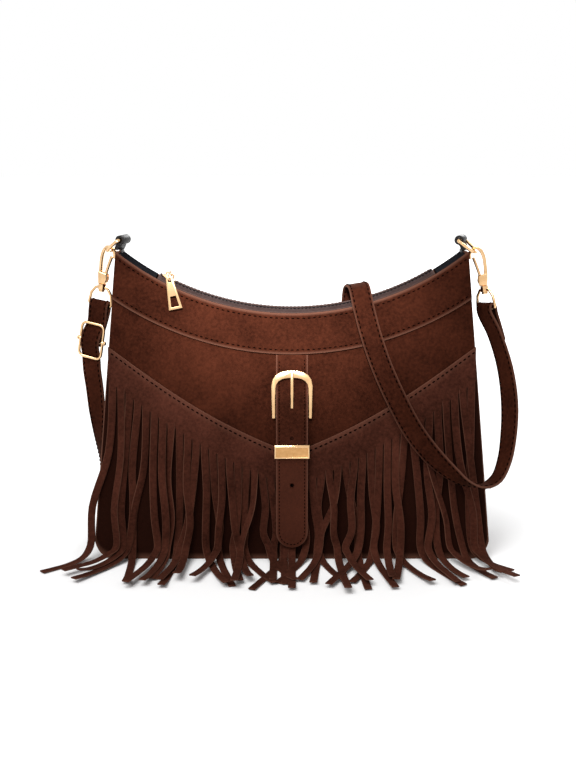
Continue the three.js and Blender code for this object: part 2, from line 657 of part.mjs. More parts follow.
function makePull(slider, height) {
  const group = new THREE.Group();
  group.name = "pull_group";
  group.position.z = height;
  group.rotation.y = radians(PULL_ROLL);
  slider.add(group);
  const back = BRIDGE_WIDTH / 2 + 3 * CLEAR + LINK_WIRE / 2;
  const front = PULL_SET_OUT + PULL_THICK / 2 + 2 * CLEAR + LINK_WIRE / 2;
  const round = LINK_SPAN / 2;
  const path = new THREE.Path();
  path.absarc(front - round, 0, round, -Math.PI / 2, Math.PI / 2, false);
  path.absarc(round - back, 0, round, Math.PI / 2, 1.5 * Math.PI, false);
  const stadium = openPath(path, 3);
  const frame = new THREE.Matrix4().makeBasis(
    new THREE.Vector3(0, -1, 0),
    new THREE.Vector3(0, 0, 1),
    new THREE.Vector3(-1, 0, 0),
  );
  const link = flatBar(stadium, LINK_WIRE, LINK_WIRE, 0.25, true).applyMatrix4(frame);
  addMesh(group, "zip_link", link.rotateX(radians(LINK_TILT)), GOLD);

  const drop = PULL_SET_OUT * Math.tan(radians(LINK_TILT));
  const barHeight = LINK_SPAN - LINK_WIRE - 2 * CLEAR;
  const top = -drop + LINK_SPAN / 2 - LINK_WIRE / 2 - CLEAR;
  const shape = new THREE.Shape();
  shape.moveTo(-PULL_TOP_WIDTH / 2, top - 0.8);
  shape.lineTo(-PULL_TOP_WIDTH / 2 + 0.8, top);
  shape.lineTo(PULL_TOP_WIDTH / 2 - 0.8, top);
  shape.lineTo(PULL_TOP_WIDTH / 2, top - 0.8);
  shape.lineTo(PULL_BOTTOM_WIDTH / 2, top - PULL_LENGTH);
  shape.lineTo(-PULL_BOTTOM_WIDTH / 2, top - PULL_LENGTH);
  shape.closePath();
  const opening = (low, high, halfLow, halfHigh) => {
    const corners = [
      [-halfLow, low],
      [halfLow, low],
      [halfHigh, high],
      [-halfHigh, high],
    ];
    shape.holes.push(new THREE.Path(corners.map(([x, y]) => new THREE.Vector2(x, y))));
  };
  const eyeHalf = LINK_WIRE / 2 + 2 * CLEAR;
  opening(top - barHeight - LINK_WIRE - 3 * CLEAR, top - barHeight, eyeHalf, eyeHalf);
  const low = top - PULL_LENGTH + PULL_RIM;
  const halfAt = (z) => lerp(PULL_TOP_WIDTH, PULL_BOTTOM_WIDTH, (top - z) / PULL_LENGTH) / 2 - PULL_RIM;
  opening(low, low + PULL_WINDOW, halfAt(low), halfAt(low + PULL_WINDOW));
  const pull = upright(extrude(shape, PULL_THICK, 0.3)).rotateX(-radians(PULL_LEAN));
  addMesh(group, "zip_pull", pull.translate(0, -PULL_SET_OUT, 0), GOLD);
}

// Buckled tab down the middle of the front
const tongueTop = mouthCentre - yokeRadius - CLEAR;
const bandLevel = FRINGE_GAP + FRINGE_THICK + CLEAR;
const chapeLevel = bandLevel + KEEPER_WALL + CLEAR;
const chapeThick = 2;
const keeperTongue = chapeLevel + chapeThick + CLEAR;
const overBar = BAR_SET_OUT + BAR_RADIUS + CLEAR + CHAPE_LOOP + CLEAR;
const keeperTop = KEEPER_LOW + KEEPER_HEIGHT;

// Height and distance from the wall of the tongue's back face, from the yoke down to its tip.
const tongueCourse = [
  [tongueTop, CLEAR],
  [tongueTop - 8, CLEAR],
  [BAR_HEIGHT + 26, CLEAR + 0.2],
  [BAR_HEIGHT + 20.5, CLEAR + 0.6],
  [BAR_HEIGHT + 13, overBar - 0.6],
  [BAR_HEIGHT + 6, overBar],
  [BAR_HEIGHT - 3, overBar],
  [BAR_HEIGHT - 11, keeperTongue + 0.5],
  [keeperTop + 2, keeperTongue],
  [KEEPER_LOW - 2, keeperTongue],
  [KEEPER_LOW - 16, bandLevel + 3 * FRINGE_THICK * 0.8],
  [TONGUE_TIP + 20, bandLevel + 3 * FRINGE_THICK * 0.8],
  [TONGUE_TIP, bandLevel + 3 * FRINGE_THICK * 0.8],
];

function tongueSetOut(z) {
  const i = tongueCourse.findIndex(([height]) => height <= z + MERGE);
  if (i <= 0) return tongueCourse[i === 0 ? 0 : tongueCourse.length - 1][1];
  const [[high, a], [low, b]] = [tongueCourse[i - 1], tongueCourse[i]];
  return lerp(b, a, THREE.MathUtils.smoothstep(z, low, high));
}

function makeTongue() {
  const half = TONGUE_WIDTH / 2;
  const tipStart = TONGUE_TIP + half;
  const straight = tongueCourse.map(([z]) => z).filter((z) => z > tipStart + 1);
  const halfway = straight.slice(1).map((z, i) => (z + straight[i]) / 2);
  const tip = [0, 0.35, 0.62, 0.82, 0.94, 0.99].map((t) => tipStart - t * half);
  const rows = [...straight, ...halfway, ...tip].sort((a, b) => b - a);
  const halfAt = (z) => (z >= tipStart ? half : Math.sqrt(half ** 2 - (tipStart - z) ** 2));
  const face = (out) => (w, z) => onWall(w * halfAt(z), z, tongueSetOut(z) + out);
  const strip = sheet([-1, 0, 1], rows, face(TONGUE_THICK), face(0));
  const through = 60;
  const holes = TONGUE_HOLES.map((z) => rod(TONGUE_HOLE / 2, through, "y", [0, -BASE_DEPTH / 2, z]));
  const slot = box(PRONG_WIDTH + 2 * CLEAR, through, 13, [0, -BASE_DEPTH / 2, BAR_HEIGHT + 13.2]);
  addMesh(bag, "buckle_tongue", cut(strip, ...holes, slot), SUEDE);
}

// Places a cross-section, given as height and distance from the wall, along x.
function acrossWall(section, width, round = []) {
  const toPoint = ([z, out]) => new THREE.Vector2(-(wallDepth(0, z) + out), z);
  const shape = new THREE.Shape(section.map(toPoint));
  if (round.length) {
    const [z, out, radius] = round;
    const centre = toPoint([z, out]);
    const hole = new THREE.Path();
    hole.absarc(centre.x, centre.y, radius, 0, 2 * Math.PI, true);
    shape.holes.push(hole);
  }
  const frame = new THREE.Matrix4().makeBasis(
    new THREE.Vector3(0, 1, 0),
    new THREE.Vector3(0, 0, 1),
    new THREE.Vector3(1, 0, 0),
  );
  return extrude(shape, width).applyMatrix4(frame);
}

function makeChape() {
  const reach = BAR_RADIUS + CLEAR + CHAPE_LOOP;
  const around = [205, 160, 120, 90, 60, 20, -25].map((degrees) => {
    const turn = radians(degrees);
    return [BAR_HEIGHT + reach * Math.sin(turn), BAR_SET_OUT - reach * Math.cos(turn)];
  });
  const foot = seamHeight(0) - 10;
  const section = [
    [foot, bandLevel],
    [KEEPER_LOW - 1.5, bandLevel],
    [KEEPER_LOW, chapeLevel],
    [keeperTop, chapeLevel],
    ...around.toReversed(),
    [keeperTop, chapeLevel + chapeThick],
    [KEEPER_LOW, chapeLevel + chapeThick],
    [foot, bandLevel + chapeThick],
  ];
  const strap = acrossWall(section, CHAPE_WIDTH, [BAR_HEIGHT, BAR_SET_OUT, BAR_RADIUS + CLEAR]);
  const slot = box(CHAPE_SLOT, BASE_DEPTH, 2 * reach + 3, [0, -BASE_DEPTH / 2, BAR_HEIGHT + 0.6]);
  addMesh(bag, "buckle_chape", cut(strap, slot), SUEDE);
}

function makeBuckle() {
  const rise = BUCKLE_HEIGHT;
  const lean = Math.atan2(wallDepth(0, BAR_HEIGHT) - wallDepth(0, BAR_HEIGHT + rise), rise);
  const group = new THREE.Group();
  group.position.copy(onWall(0, BAR_HEIGHT, BAR_SET_OUT));
  group.rotation.x = -lean;
  bag.add(group);
  const inner = TONGUE_WIDTH / 2 + CLEAR;
  const outer = inner + BUCKLE_LEG;
  const foot = -BAR_RADIUS - 0.4;
  const crown = rise - BUCKLE_CROWN;
  const shape = new THREE.Shape();
  shape.moveTo(-outer + 0.5, foot);
  shape.lineTo(-outer - 0.3, rise * 0.66);
  shape.bezierCurveTo(-outer, rise * 0.94, -outer * 0.5, rise, 0, rise);
  shape.bezierCurveTo(outer * 0.5, rise, outer, rise * 0.94, outer + 0.3, rise * 0.66);
  shape.lineTo(outer - 0.5, foot);
  shape.lineTo(inner, foot);
  shape.lineTo(inner, rise * 0.6);
  shape.bezierCurveTo(inner, crown * 0.94, inner * 0.55, crown, 0, crown);
  shape.bezierCurveTo(-inner * 0.55, crown, -inner, crown * 0.94, -inner, rise * 0.6);
  shape.lineTo(-inner, foot);
  shape.closePath();
  const loop = upright(extrude(shape, BUCKLE_THICK, 0.5));
  addMesh(group, "buckle_frame", join(loop, rod(BAR_RADIUS, 2 * inner + 1.2, "x", [0, 0, 0])), GOLD);
  makeProng(group, rise);
}

function makeProng(buckle, rise) {
  const bore = BAR_RADIUS + CLEAR;
  const rest = BUCKLE_THICK / 2 + CLEAR + PRONG_THICK / 2;
  const line = smooth(
    [
      [1.6, bore + 0.3],
      [8, rest - 0.3],
      [rise * 0.6, rest],
      [rise - 1.6, rest],
    ],
    8,
  );
  const arm = flatBar(line, PRONG_THICK, PRONG_WIDTH, 0.3);
  const ring = new THREE.Shape();
  ring.absarc(0, 0, bore + 1, 0, 2 * Math.PI, false);
  const frame = new THREE.Matrix4().makeBasis(
    new THREE.Vector3(0, 0, 1),
    new THREE.Vector3(0, -1, 0),
    new THREE.Vector3(1, 0, 0),
  );
  const body = join(arm, extrude(ring, PRONG_WIDTH));
  const prong = cut(body, rod(bore, 2 * PRONG_WIDTH, "z", [0, 0, 0])).applyMatrix4(frame);
  addMesh(buckle, "buckle_prong", prong, GOLD);
}

function makeKeeper() {
  const out = keeperTongue + TONGUE_THICK + CLEAR;
  const half = TONGUE_WIDTH / 2 + CLEAR;
  const ring = (grow) => {
    const corners = [
      [-half - grow, bandLevel + KEEPER_WALL - grow],
      [half + grow, bandLevel + KEEPER_WALL - grow],
      [half + grow, out + grow],
      [-half - grow, out + grow],
    ];
    return corners.map(([x, y]) => new THREE.Vector2(x, -y));
  };
  const shape = withHole(ring(KEEPER_WALL), ring(0));
  const lean = Math.atan2(wallDepth(0, KEEPER_LOW) - wallDepth(0, keeperTop), KEEPER_HEIGHT);
  const keeper = extrude(shape, KEEPER_HEIGHT, 0.2).rotateX(-lean);
  const middle = onWall(0, KEEPER_LOW + KEEPER_HEIGHT / 2, 0);
  addMesh(bag, "buckle_keeper", keeper.translate(0, middle.y, middle.z), GOLD);
}

// Strap hardware, built outwards from each top corner. Side is -1 on the left and 1 on the right.
const gussetTop = CORNER_HEIGHT + CLEAR;

function makeChain(word, side) {
  const chain = new THREE.Group();
  chain.name = `${word}_chain`;
  const eyeHeight = gussetTop + TAB_RISE;
  chain.position.set(side * (halfTop - PANEL / 2 - TAB_SET_IN), 0, eyeHeight);
  chain.rotation.z = radians(CHAIN_YAW);
  bag.add(chain);
  makeTabLoop(chain, word, side);
  makeRing(chain, word, side);

  const tilt = radians(RING_TILT);
  const hang = new THREE.Group();
  hang.name = `${word}_hang`;
  hang.position.set(side * RING_REACH * Math.cos(tilt), 0, -RING_REACH * Math.sin(tilt));
  hang.rotation.y = -side * radians(HOOK_LEAN);
  chain.add(hang);
  const hook = new THREE.Group();
  hook.name = `${word}_hook_group`;
  hook.position.set(-side * HOOK_HANG_OUT, 0, -HOOK_HANG_HEIGHT);
  hang.add(hook);
  makeHook(hook, word, side);
  makeGate(hook, word, side);
  makeEye(hook, word, side === 1 ? RIGHT_EYE_TURN : 0);
}

function makeTabLoop(chain, word, side) {
  const outer = TAB_BORE + TAB_THICK;
  const loop = rod(outer, TAB_WIDTH, "y", [0, 0, 0], 16);
  const foot = new THREE.Shape();
  foot.moveTo(-TAB_THICK, 0);
  foot.lineTo(TAB_THICK, 0);
  foot.lineTo(side * TAB_SET_IN + TAB_THICK, -TAB_RISE);
  foot.lineTo(side * TAB_SET_IN - TAB_THICK, -TAB_RISE);
  foot.closePath();
  const stem = upright(extrude(foot, TAB_WIDTH));
  const bore = rod(TAB_BORE, 2 * TAB_WIDTH, "y", [0, 0, 0], 16);
  addMesh(chain, `${word}_tab_loop`, cut(join(loop, stem), bore), BLACK_LEATHER);
}

function makeRing(chain, word, side) {
  const half = RING_WIDTH / 2;
  const bow = RING_REACH - half;
  const path = new THREE.Path();
  path.moveTo(0, -half + RING_CORNER);
  path.lineTo(0, half - RING_CORNER);
  path.absarc(RING_CORNER, half - RING_CORNER, RING_CORNER, Math.PI, Math.PI / 2, true);
  path.absarc(bow, 0, half, Math.PI / 2, -Math.PI / 2, true);
  path.absarc(RING_CORNER, RING_CORNER - half, RING_CORNER, -Math.PI / 2, -Math.PI, true);
  const tilt = radians(RING_TILT);
  const reach = new THREE.Vector3(side * Math.cos(tilt), 0, -Math.sin(tilt));
  const across = new THREE.Vector3(0, 1, 0);
  const frame = new THREE.Matrix4().makeBasis(reach, across, reach.clone().cross(across));
  const ring = flatBar(openPath(path, 3), RING_WIRE, RING_WIRE, 0.6, true).applyMatrix4(frame);
  addMesh(chain, `${word}_d_ring`, ring, GOLD);
}

function makeHook(hook, word, side) {
  const bar = smooth(
    [
      [1.9, 3],
      [2.4, 11],
      [2.4, 20],
      [0.9, 26],
      [-2.4, 29.3],
      [-6, 28.2],
      [-8.3, 25],
      [-8.7, 21],
    ].map(([out, z]) => [side * out, z]),
    12,
  );
  const bow = upright(flatBar(bar, HOOK_BAR, HOOK_DEPTH, 0.5));
  const cheekOutline = [
    [-3, 0],
    [2.6, 0],
    [3.6, 9],
    [-3.6, 8],
    [-4.4, 4],
  ].map(([out, z]) => new THREE.Vector2(side * out, z));
  const cheeks = upright(extrude(new THREE.Shape(cheekOutline), HOOK_CHEEK, 0.4));
  const slotLow = 1.6;
  const slotHigh = 12;
  const slotOut = GATE_PIVOT_OUT + GATE_BAR + CLEAR;
  const slot = box(slotOut + 6, GATE_DEPTH + 2 * CLEAR, slotHigh - slotLow, [
    (side * (slotOut - 6)) / 2,
    0,
    (slotLow + slotHigh) / 2,
  ]);
  const pin = rod(GATE_PIN, HOOK_CHEEK, "y", [side * GATE_PIVOT_OUT, 0, GATE_PIVOT_HEIGHT]);
  const collarRoom = COLLAR_HEIGHT + 2 * CLEAR;
  const post = rod(POST_RADIUS, collarRoom + 1, "z", [0, 0, 0.5 - collarRoom / 2]);
  const head = rod(COLLAR_RADIUS - 0.6, POST_HEAD, "z", [0, 0, -collarRoom - POST_HEAD / 2]);
  addMesh(hook, `${word}_hook`, join(bow, cut(cheeks, slot), pin, post, head), GOLD);
}

function makeGate(hook, word, side) {
  const line = [
    [GATE_PIVOT_OUT, GATE_PIVOT_HEIGHT],
    [-3.8, 14],
    [-6, 22],
  ].map(([out, z]) => [side * out, z]);
  const bar = flatBar(smooth(line, 4), GATE_BAR, GATE_DEPTH, 0.4);
  const knuckle = new THREE.Shape();
  knuckle.absarc(side * GATE_PIVOT_OUT, GATE_PIVOT_HEIGHT, GATE_BAR, 0, 2 * Math.PI, false);
  const bore = rod(GATE_PIN + CLEAR, 2 * GATE_DEPTH, "y", [side * GATE_PIVOT_OUT, 0, GATE_PIVOT_HEIGHT]);
  const gate = cut(join(upright(bar), upright(extrude(knuckle, GATE_DEPTH))), bore);
  addMesh(hook, `${word}_gate`, gate, GOLD);
}

function makeEye(hook, word, turn) {
  const half = (STRAP_WIDTH + EYE_WIRE) / 2 + STRAP_ROOM;
  const round = 1.6;
  const path = new THREE.Path();
  path.moveTo(-half + round, -EYE_HEIGHT);
  path.lineTo(half - round, -EYE_HEIGHT);
  path.absarc(half - round, round - EYE_HEIGHT, round, -Math.PI / 2, 0, false);
  path.bezierCurveTo(half, -EYE_HEIGHT * 0.4, half * 0.6, -COLLAR_HEIGHT / 2, 0, -COLLAR_HEIGHT / 2);
  path.bezierCurveTo(-half * 0.6, -COLLAR_HEIGHT / 2, -half, -EYE_HEIGHT * 0.4, -half, round - EYE_HEIGHT);
  path.absarc(round - half, round - EYE_HEIGHT, round, Math.PI, 1.5 * Math.PI, false);
  const ring = upright(flatBar(openPath(path, 3), EYE_WIRE, EYE_WIRE, 0.5, true));
  const collar = rod(COLLAR_RADIUS, COLLAR_HEIGHT, "z", [0, 0, -CLEAR - COLLAR_HEIGHT / 2], 16);
  const bore = rod(POST_RADIUS + CLEAR, 2 * COLLAR_HEIGHT, "z", [0, 0, -COLLAR_HEIGHT / 2]);
  addMesh(hook, `${word}_eye`, cut(join(ring, collar), bore), GOLD).rotation.z = radians(turn);
}

// Adjuster: a rounded frame with a centre bar whose ends are headed outside it
function makeAdjuster() {
  const yaw = new THREE.Group();
  yaw.position.set(...ADJUSTER_CENTRE);
  yaw.rotation.z = radians(CHAIN_YAW);
  const group = new THREE.Group();
  group.rotation.y = radians(ADJUSTER_ROLL);
  bag.add(yaw.add(group));
  const half = (STRAP_WIDTH + ADJUSTER_WIRE) / 2 + STRAP_ROOM;
  const tall = (ADJUSTER_HEIGHT - ADJUSTER_WIRE) / 2;
  const round = 4;
  const path = new THREE.Path();
  path.moveTo(-half, -tall + round);
  path.absarc(-half + round, -tall + round, round, Math.PI, 1.5 * Math.PI, false);
  path.absarc(half - round, -tall + round, round, 1.5 * Math.PI, 2 * Math.PI, false);
  path.absarc(half - round, tall - round, round, 0, Math.PI / 2, false);
  path.absarc(-half + round, tall - round, round, Math.PI / 2, Math.PI, false);
  const frame = upright(flatBar(openPath(path, 2), ADJUSTER_WIRE, ADJUSTER_WIRE, 0.5, true));
  const boss = (side) => rod(ADJUSTER_KNOB, ADJUSTER_WIRE, "x", [side * half, 0, 0]);
  const bore = rod(ADJUSTER_BAR_RADIUS + CLEAR, 4 * half, "x", [0, 0, 0]);
  addMesh(group, "strap_adjuster_frame", cut(join(frame, boss(1), boss(-1)), bore), GOLD);
  const neck = half + ADJUSTER_WIRE / 2 + CLEAR;
  const profile = [
    [0, -neck - 1.8],
    [1.2, -neck - 1.5],
    [1.7, -neck - 0.8],
    [1.7, -neck],
    [ADJUSTER_BAR_RADIUS, -neck],
    [ADJUSTER_BAR_RADIUS, neck],
    [1.7, neck],
    [1.7, neck + 0.8],
    [1.2, neck + 1.5],
    [0, neck + 1.8],
  ].map(([x, y]) => new THREE.Vector2(x, y));
  addMesh(group, "strap_adjuster_bar", new THREE.LatheGeometry(profile, 10).rotateZ(Math.PI / 2), GOLD);
}

// The strap: a flat band with softened edges along its route
function makeStrap() {
  const curve = new THREE.CatmullRomCurve3(
    STRAP_ROUTE.map(([x, y, z]) => new THREE.Vector3(x, y, z)),
    false,
    "centripetal",
  );
  const acrossCurve = new THREE.CatmullRomCurve3(
    STRAP_ROUTE.map(([, , , x, y, z]) => new THREE.Vector3(x, y, z)),
  );
  const wide = STRAP_WIDTH / 2;
  const thin = STRAP_THICK / 2;
  const soft = STRAP_THICK / 4;
  const section = [
    [wide - soft, thin],
    [wide, thin - soft],
    [wide, soft - thin],
    [wide - soft, -thin],
    [soft - wide, -thin],
    [-wide, soft - thin],
    [-wide, thin - soft],
    [soft - wide, thin],
  ];
  const rings = steps(STRAP_ROUTE.length - 1).map((t) => {
    const centre = curve.getPoint(t);
    const along = curve.getTangent(t);
    const across = acrossCurve.getPoint(t);
    across.addScaledVector(along, -across.dot(along)).normalize();
    const out = new THREE.Vector3().crossVectors(across, along);
    return section.map(([a, b]) => centre.clone().addScaledVector(across, a).addScaledVector(out, b));
  });
  addMesh(bag, "strap", loft(rings), SUEDE);
}

makePanel("front_panel", -1);
makePanel("back_panel", 1);
makeGusset();
makeYoke("front_yoke", -1);
makeYoke("back_yoke", 1);
makeFringe();
makeFacing("front_zip_facing", -1);
makeFacing("back_zip_facing", 1);
makeZipRow("front_zip_row", -1);
makeZipRow("back_zip_row", 1);
makeZipEnd("left_zip_end", -cornerAngle, FACING_START - CLEAR);
makeZipEnd("right_zip_end", ZIP_CLOSED_END + CLEAR, cornerAngle);
makeSlider();
makeTongue();
makeChape();
makeBuckle();
makeKeeper();
makeChain("left", -1);
makeChain("right", 1);
makeAdjuster();
makeStrap();

export default bag;
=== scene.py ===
"""Dresses the fringed suede bag: its suede shell, slit fringe, zip, buckled tab, strap and gold fittings."""

from __future__ import annotations

import logging
import math
from dataclasses import dataclass
from enum import Enum
from typing import Callable, Iterable, Sequence

import bpy
from mathutils import Matrix, Vector

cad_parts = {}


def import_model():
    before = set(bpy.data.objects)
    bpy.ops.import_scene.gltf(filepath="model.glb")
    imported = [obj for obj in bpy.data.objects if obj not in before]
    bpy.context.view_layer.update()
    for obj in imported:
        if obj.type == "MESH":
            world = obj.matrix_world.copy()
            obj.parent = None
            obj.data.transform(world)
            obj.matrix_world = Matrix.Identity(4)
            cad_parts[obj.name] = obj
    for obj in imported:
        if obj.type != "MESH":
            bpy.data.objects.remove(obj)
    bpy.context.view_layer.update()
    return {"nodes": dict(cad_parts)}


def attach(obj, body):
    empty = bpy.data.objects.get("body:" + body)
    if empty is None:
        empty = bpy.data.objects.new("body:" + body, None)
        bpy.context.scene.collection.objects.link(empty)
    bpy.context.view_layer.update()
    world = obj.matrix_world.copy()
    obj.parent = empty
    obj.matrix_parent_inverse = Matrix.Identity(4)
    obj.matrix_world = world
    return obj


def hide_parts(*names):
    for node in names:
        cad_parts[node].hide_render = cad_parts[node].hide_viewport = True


LOG = logging.getLogger("fringed_bag")
MM = 0.001
BODY = "bag"

Place = Callable[[float, float], Vector]


class Side(Enum):
    """The two walls of the bag, by the sign of their y."""

    FRONT = -1
    BACK = 1


class Slot(Enum):
    """The record's material slots."""

    SUEDE = "suede"
    FACING = "facing"
    BLACK_LEATHER = "black_leather"
    BLACK_TAPE = "black_tape"
    PALE_GOLD = "pale_gold"


def lerp(a: float, b: float, t: float) -> float:
    """A value between a and b."""
    return a + (b - a) * t


def clamp(value: float, low: float, high: float) -> float:
    """The value kept between two limits."""
    return max(low, min(high, value))


def smoothstep(t: float, low: float, high: float) -> float:
    """0 below low, 1 above high, and an even rise between."""
    s = clamp((t - low) / (high - low), 0.0, 1.0)
    return s * s * (3 - 2 * s)


def vary(item: int, draw: int) -> float:
    """A fixed, uneven value from -1 to 1 for one item and one draw."""
    wave = math.sin(item * 12.9898 + draw * 78.233) * 43758.5453
    return 2 * (wave - math.floor(wave)) - 1


def curve_points(points: Sequence[Vector], steps: int) -> list[Vector]:
    """Points on a smooth curve through the given ones.

    Args:
        points: the points that the curve passes through.
        steps: how many pieces each stretch between two of them is cut into.

    Returns:
        The curve's points, from the first given point to the last.
    """
    ends = [2 * points[0] - points[1], *points, 2 * points[-1] - points[-2]]
    line: list[Vector] = []
    for i in range(len(points) - 1):
        p0, p1, p2, p3 = ends[i : i + 4]
        d0, d1, d2 = (max((b - a).length ** 0.5, 1e-4) for a, b in ((p0, p1), (p1, p2), (p2, p3)))
        t1 = ((p1 - p0) / d0 - (p2 - p0) / (d0 + d1) + (p2 - p1) / d1) * d1
        t2 = ((p2 - p1) / d1 - (p3 - p1) / (d1 + d2) + (p3 - p2) / d2) * d1
        for k in range(steps):
            t = k / steps
            a = 2 * t**3 - 3 * t**2 + 1
            b = t**3 - 2 * t**2 + t
            line.append(p1 * a + t1 * b + p2 * (1 - a) + t2 * (t**3 - t**2))
    line.append(points[-1].copy())
    return line


# Finishes


@dataclass(frozen=True)
class Finish:
    """A procedural finish: its colours, its grain and how it takes the light."""

    name: str
    dark: tuple[float, float, float]
    light: tuple[float, float, float]
    roughness: float
    metallic: float = 0.0
    sheen: float = 0.0
    sheen_tint: tuple[float, float, float] = (1.0, 1.0, 1.0)
    patch_scale: float = 22.0
    grain_scale: float = 900.0
    grain_depth: float = 0.0003
    weave_scale: float = 0.0
    # edge: the tone of real wear at cut edges, with a painted highlight along them.
    edge: tuple[float, float, float] | None = None
    # under: the tone of painted shade on the front panel, and of painted light on the tongue.
    under: tuple[float, float, float] | None = None
    specular: float = 0.2

    def make(self) -> bpy.types.Material:
        """The finish as a material, made once and then shared."""
        found = bpy.data.materials.get(self.name)
        if found:
            return found
        material = bpy.data.materials.new(self.name)
        material.use_nodes = True
        tree = material.node_tree
        shader = tree.nodes["Principled BSDF"]
        shader.inputs["Metallic"].default_value = self.metallic
        shader.inputs["Sheen Weight"].default_value = self.sheen
        shader.inputs["Sheen Roughness"].default_value = 0.45
        shader.inputs["Sheen Tint"].default_value = (*self.sheen_tint, 1)
        shader.inputs["Specular IOR Level"].default_value = self.specular
        place = tree.nodes.new("ShaderNodeTexCoord")
        colour = self._colour(tree, place)
        tree.links.new(colour, shader.inputs["Base Color"])
        self._roughness(tree, place, shader)
        self._bump(tree, place, shader)
        return material

    def _noise(
        self, tree: bpy.types.NodeTree, place: bpy.types.Node, scale: float, detail: float
    ) -> bpy.types.Node:
        """A noise pattern on the piece's own coordinates."""
        noise = tree.nodes.new("ShaderNodeTexNoise")
        noise.inputs["Scale"].default_value = scale
        noise.inputs["Detail"].default_value = detail
        noise.inputs["Roughness"].default_value = 0.62
        tree.links.new(place.outputs["Object"], noise.inputs["Vector"])
        return noise

    def _colour(self, tree: bpy.types.NodeTree, place: bpy.types.Node) -> bpy.types.NodeSocket:
        """Patches and a fine nap between the two tones, with other tones where the piece is marked: painted
        shade or painted light from the under mark, and real wear with a painted highlight from the edge mark.
        """
        patches = self._noise(tree, place, self.patch_scale, 4)
        nap = self._noise(tree, place, self.grain_scale * 0.5, 3)
        both = tree.nodes.new("ShaderNodeMath")
        both.operation = "MULTIPLY_ADD"
        both.inputs[1].default_value = 0.55
        tree.links.new(patches.outputs["Fac"], both.inputs[0])
        share = tree.nodes.new("ShaderNodeMath")
        share.operation = "MULTIPLY"
        share.inputs[1].default_value = 0.45
        tree.links.new(nap.outputs["Fac"], share.inputs[0])
        tree.links.new(share.outputs[0], both.inputs[2])
        ramp = tree.nodes.new("ShaderNodeValToRGB")
        ramp.color_ramp.elements[0].position = 0.36
        ramp.color_ramp.elements[0].color = (*self.dark, 1)
        ramp.color_ramp.elements[1].position = 0.66
        ramp.color_ramp.elements[1].color = (*self.light, 1)
        tree.links.new(both.outputs[0], ramp.inputs[0])
        colour = ramp.outputs[0]
        # The under mark paints shade or light; the edge mark paints real wear with a highlight.
        for mark, tone in (("under", self.under), ("edge", self.edge)):
            if tone is not None:
                colour = self._marked(tree, colour, mark, tone)
        return colour

    def _marked(
        self,
        tree: bpy.types.NodeTree,
        colour: bpy.types.NodeSocket,
        mark: str,
        tone: tuple[float, float, float],
    ) -> bpy.types.NodeSocket:
        """The colour, turned to a second tone where the piece carries a mark.

        Args:
            tree: the material's nodes.
            colour: the colour so far.
            mark: the name of the mark on the piece's points.
            tone: the tone where the mark is 1.

        Returns:
            The mixed colour.
        """
        marked = tree.nodes.new("ShaderNodeAttribute")
        marked.attribute_name = mark
        mix = tree.nodes.new("ShaderNodeMix")
        mix.data_type = "RGBA"
        mix.inputs["B"].default_value = (*tone, 1)
        tree.links.new(marked.outputs["Fac"], mix.inputs["Factor"])
        tree.links.new(colour, mix.inputs["A"])
        return mix.outputs["Result"]

    def _roughness(self, tree: bpy.types.NodeTree, place: bpy.types.Node, shader: bpy.types.Node) -> None:
        """A roughness that wanders a little over the surface."""
        noise = self._noise(tree, place, self.patch_scale * 3, 3)
        spread = tree.nodes.new("ShaderNodeMapRange")
        spread.inputs["To Min"].default_value = clamp(self.roughness - 0.06, 0.02, 1)
        spread.inputs["To Max"].default_value = clamp(self.roughness + 0.06, 0.02, 1)
        tree.links.new(noise.outputs["Fac"], spread.inputs["Value"])
        tree.links.new(spread.outputs["Result"], shader.inputs["Roughness"])

    def _bump(self, tree: bpy.types.NodeTree, place: bpy.types.Node, shader: bpy.types.Node) -> None:
        """A fine grain, or a weave where the finish has one, as bump."""
        bump = tree.nodes.new("ShaderNodeBump")
        bump.inputs["Strength"].default_value = 0.6
        bump.inputs["Distance"].default_value = self.grain_depth
        if self.weave_scale:
            weave = tree.nodes.new("ShaderNodeTexWave")
            weave.inputs["Scale"].default_value = self.weave_scale
            weave.inputs["Distortion"].default_value = 1.5
            tree.links.new(place.outputs["Object"], weave.inputs["Vector"])
            tree.links.new(weave.outputs["Fac"], bump.inputs["Height"])
        else:
            grain = self._noise(tree, place, self.grain_scale, 5)
            tree.links.new(grain.outputs["Fac"], bump.inputs["Height"])
        tree.links.new(bump.outputs["Normal"], shader.inputs["Normal"])


# Each finish's edge tone is real wear at cut edges with a painted highlight along them.
SUEDE = Finish(
    "chocolate_suede",
    dark=(0.0130, 0.0031, 0.0015),
    light=(0.0450, 0.0114, 0.0054),
    roughness=0.92,
    sheen=0.03,
    sheen_tint=(0.9, 0.45, 0.3),
    edge=(0.088, 0.037, 0.024),
    # Painted shade on the front panel, below the fringe's band and behind the tongue.
    under=(0.0105, 0.0031, 0.0019),
    specular=0.02,
)
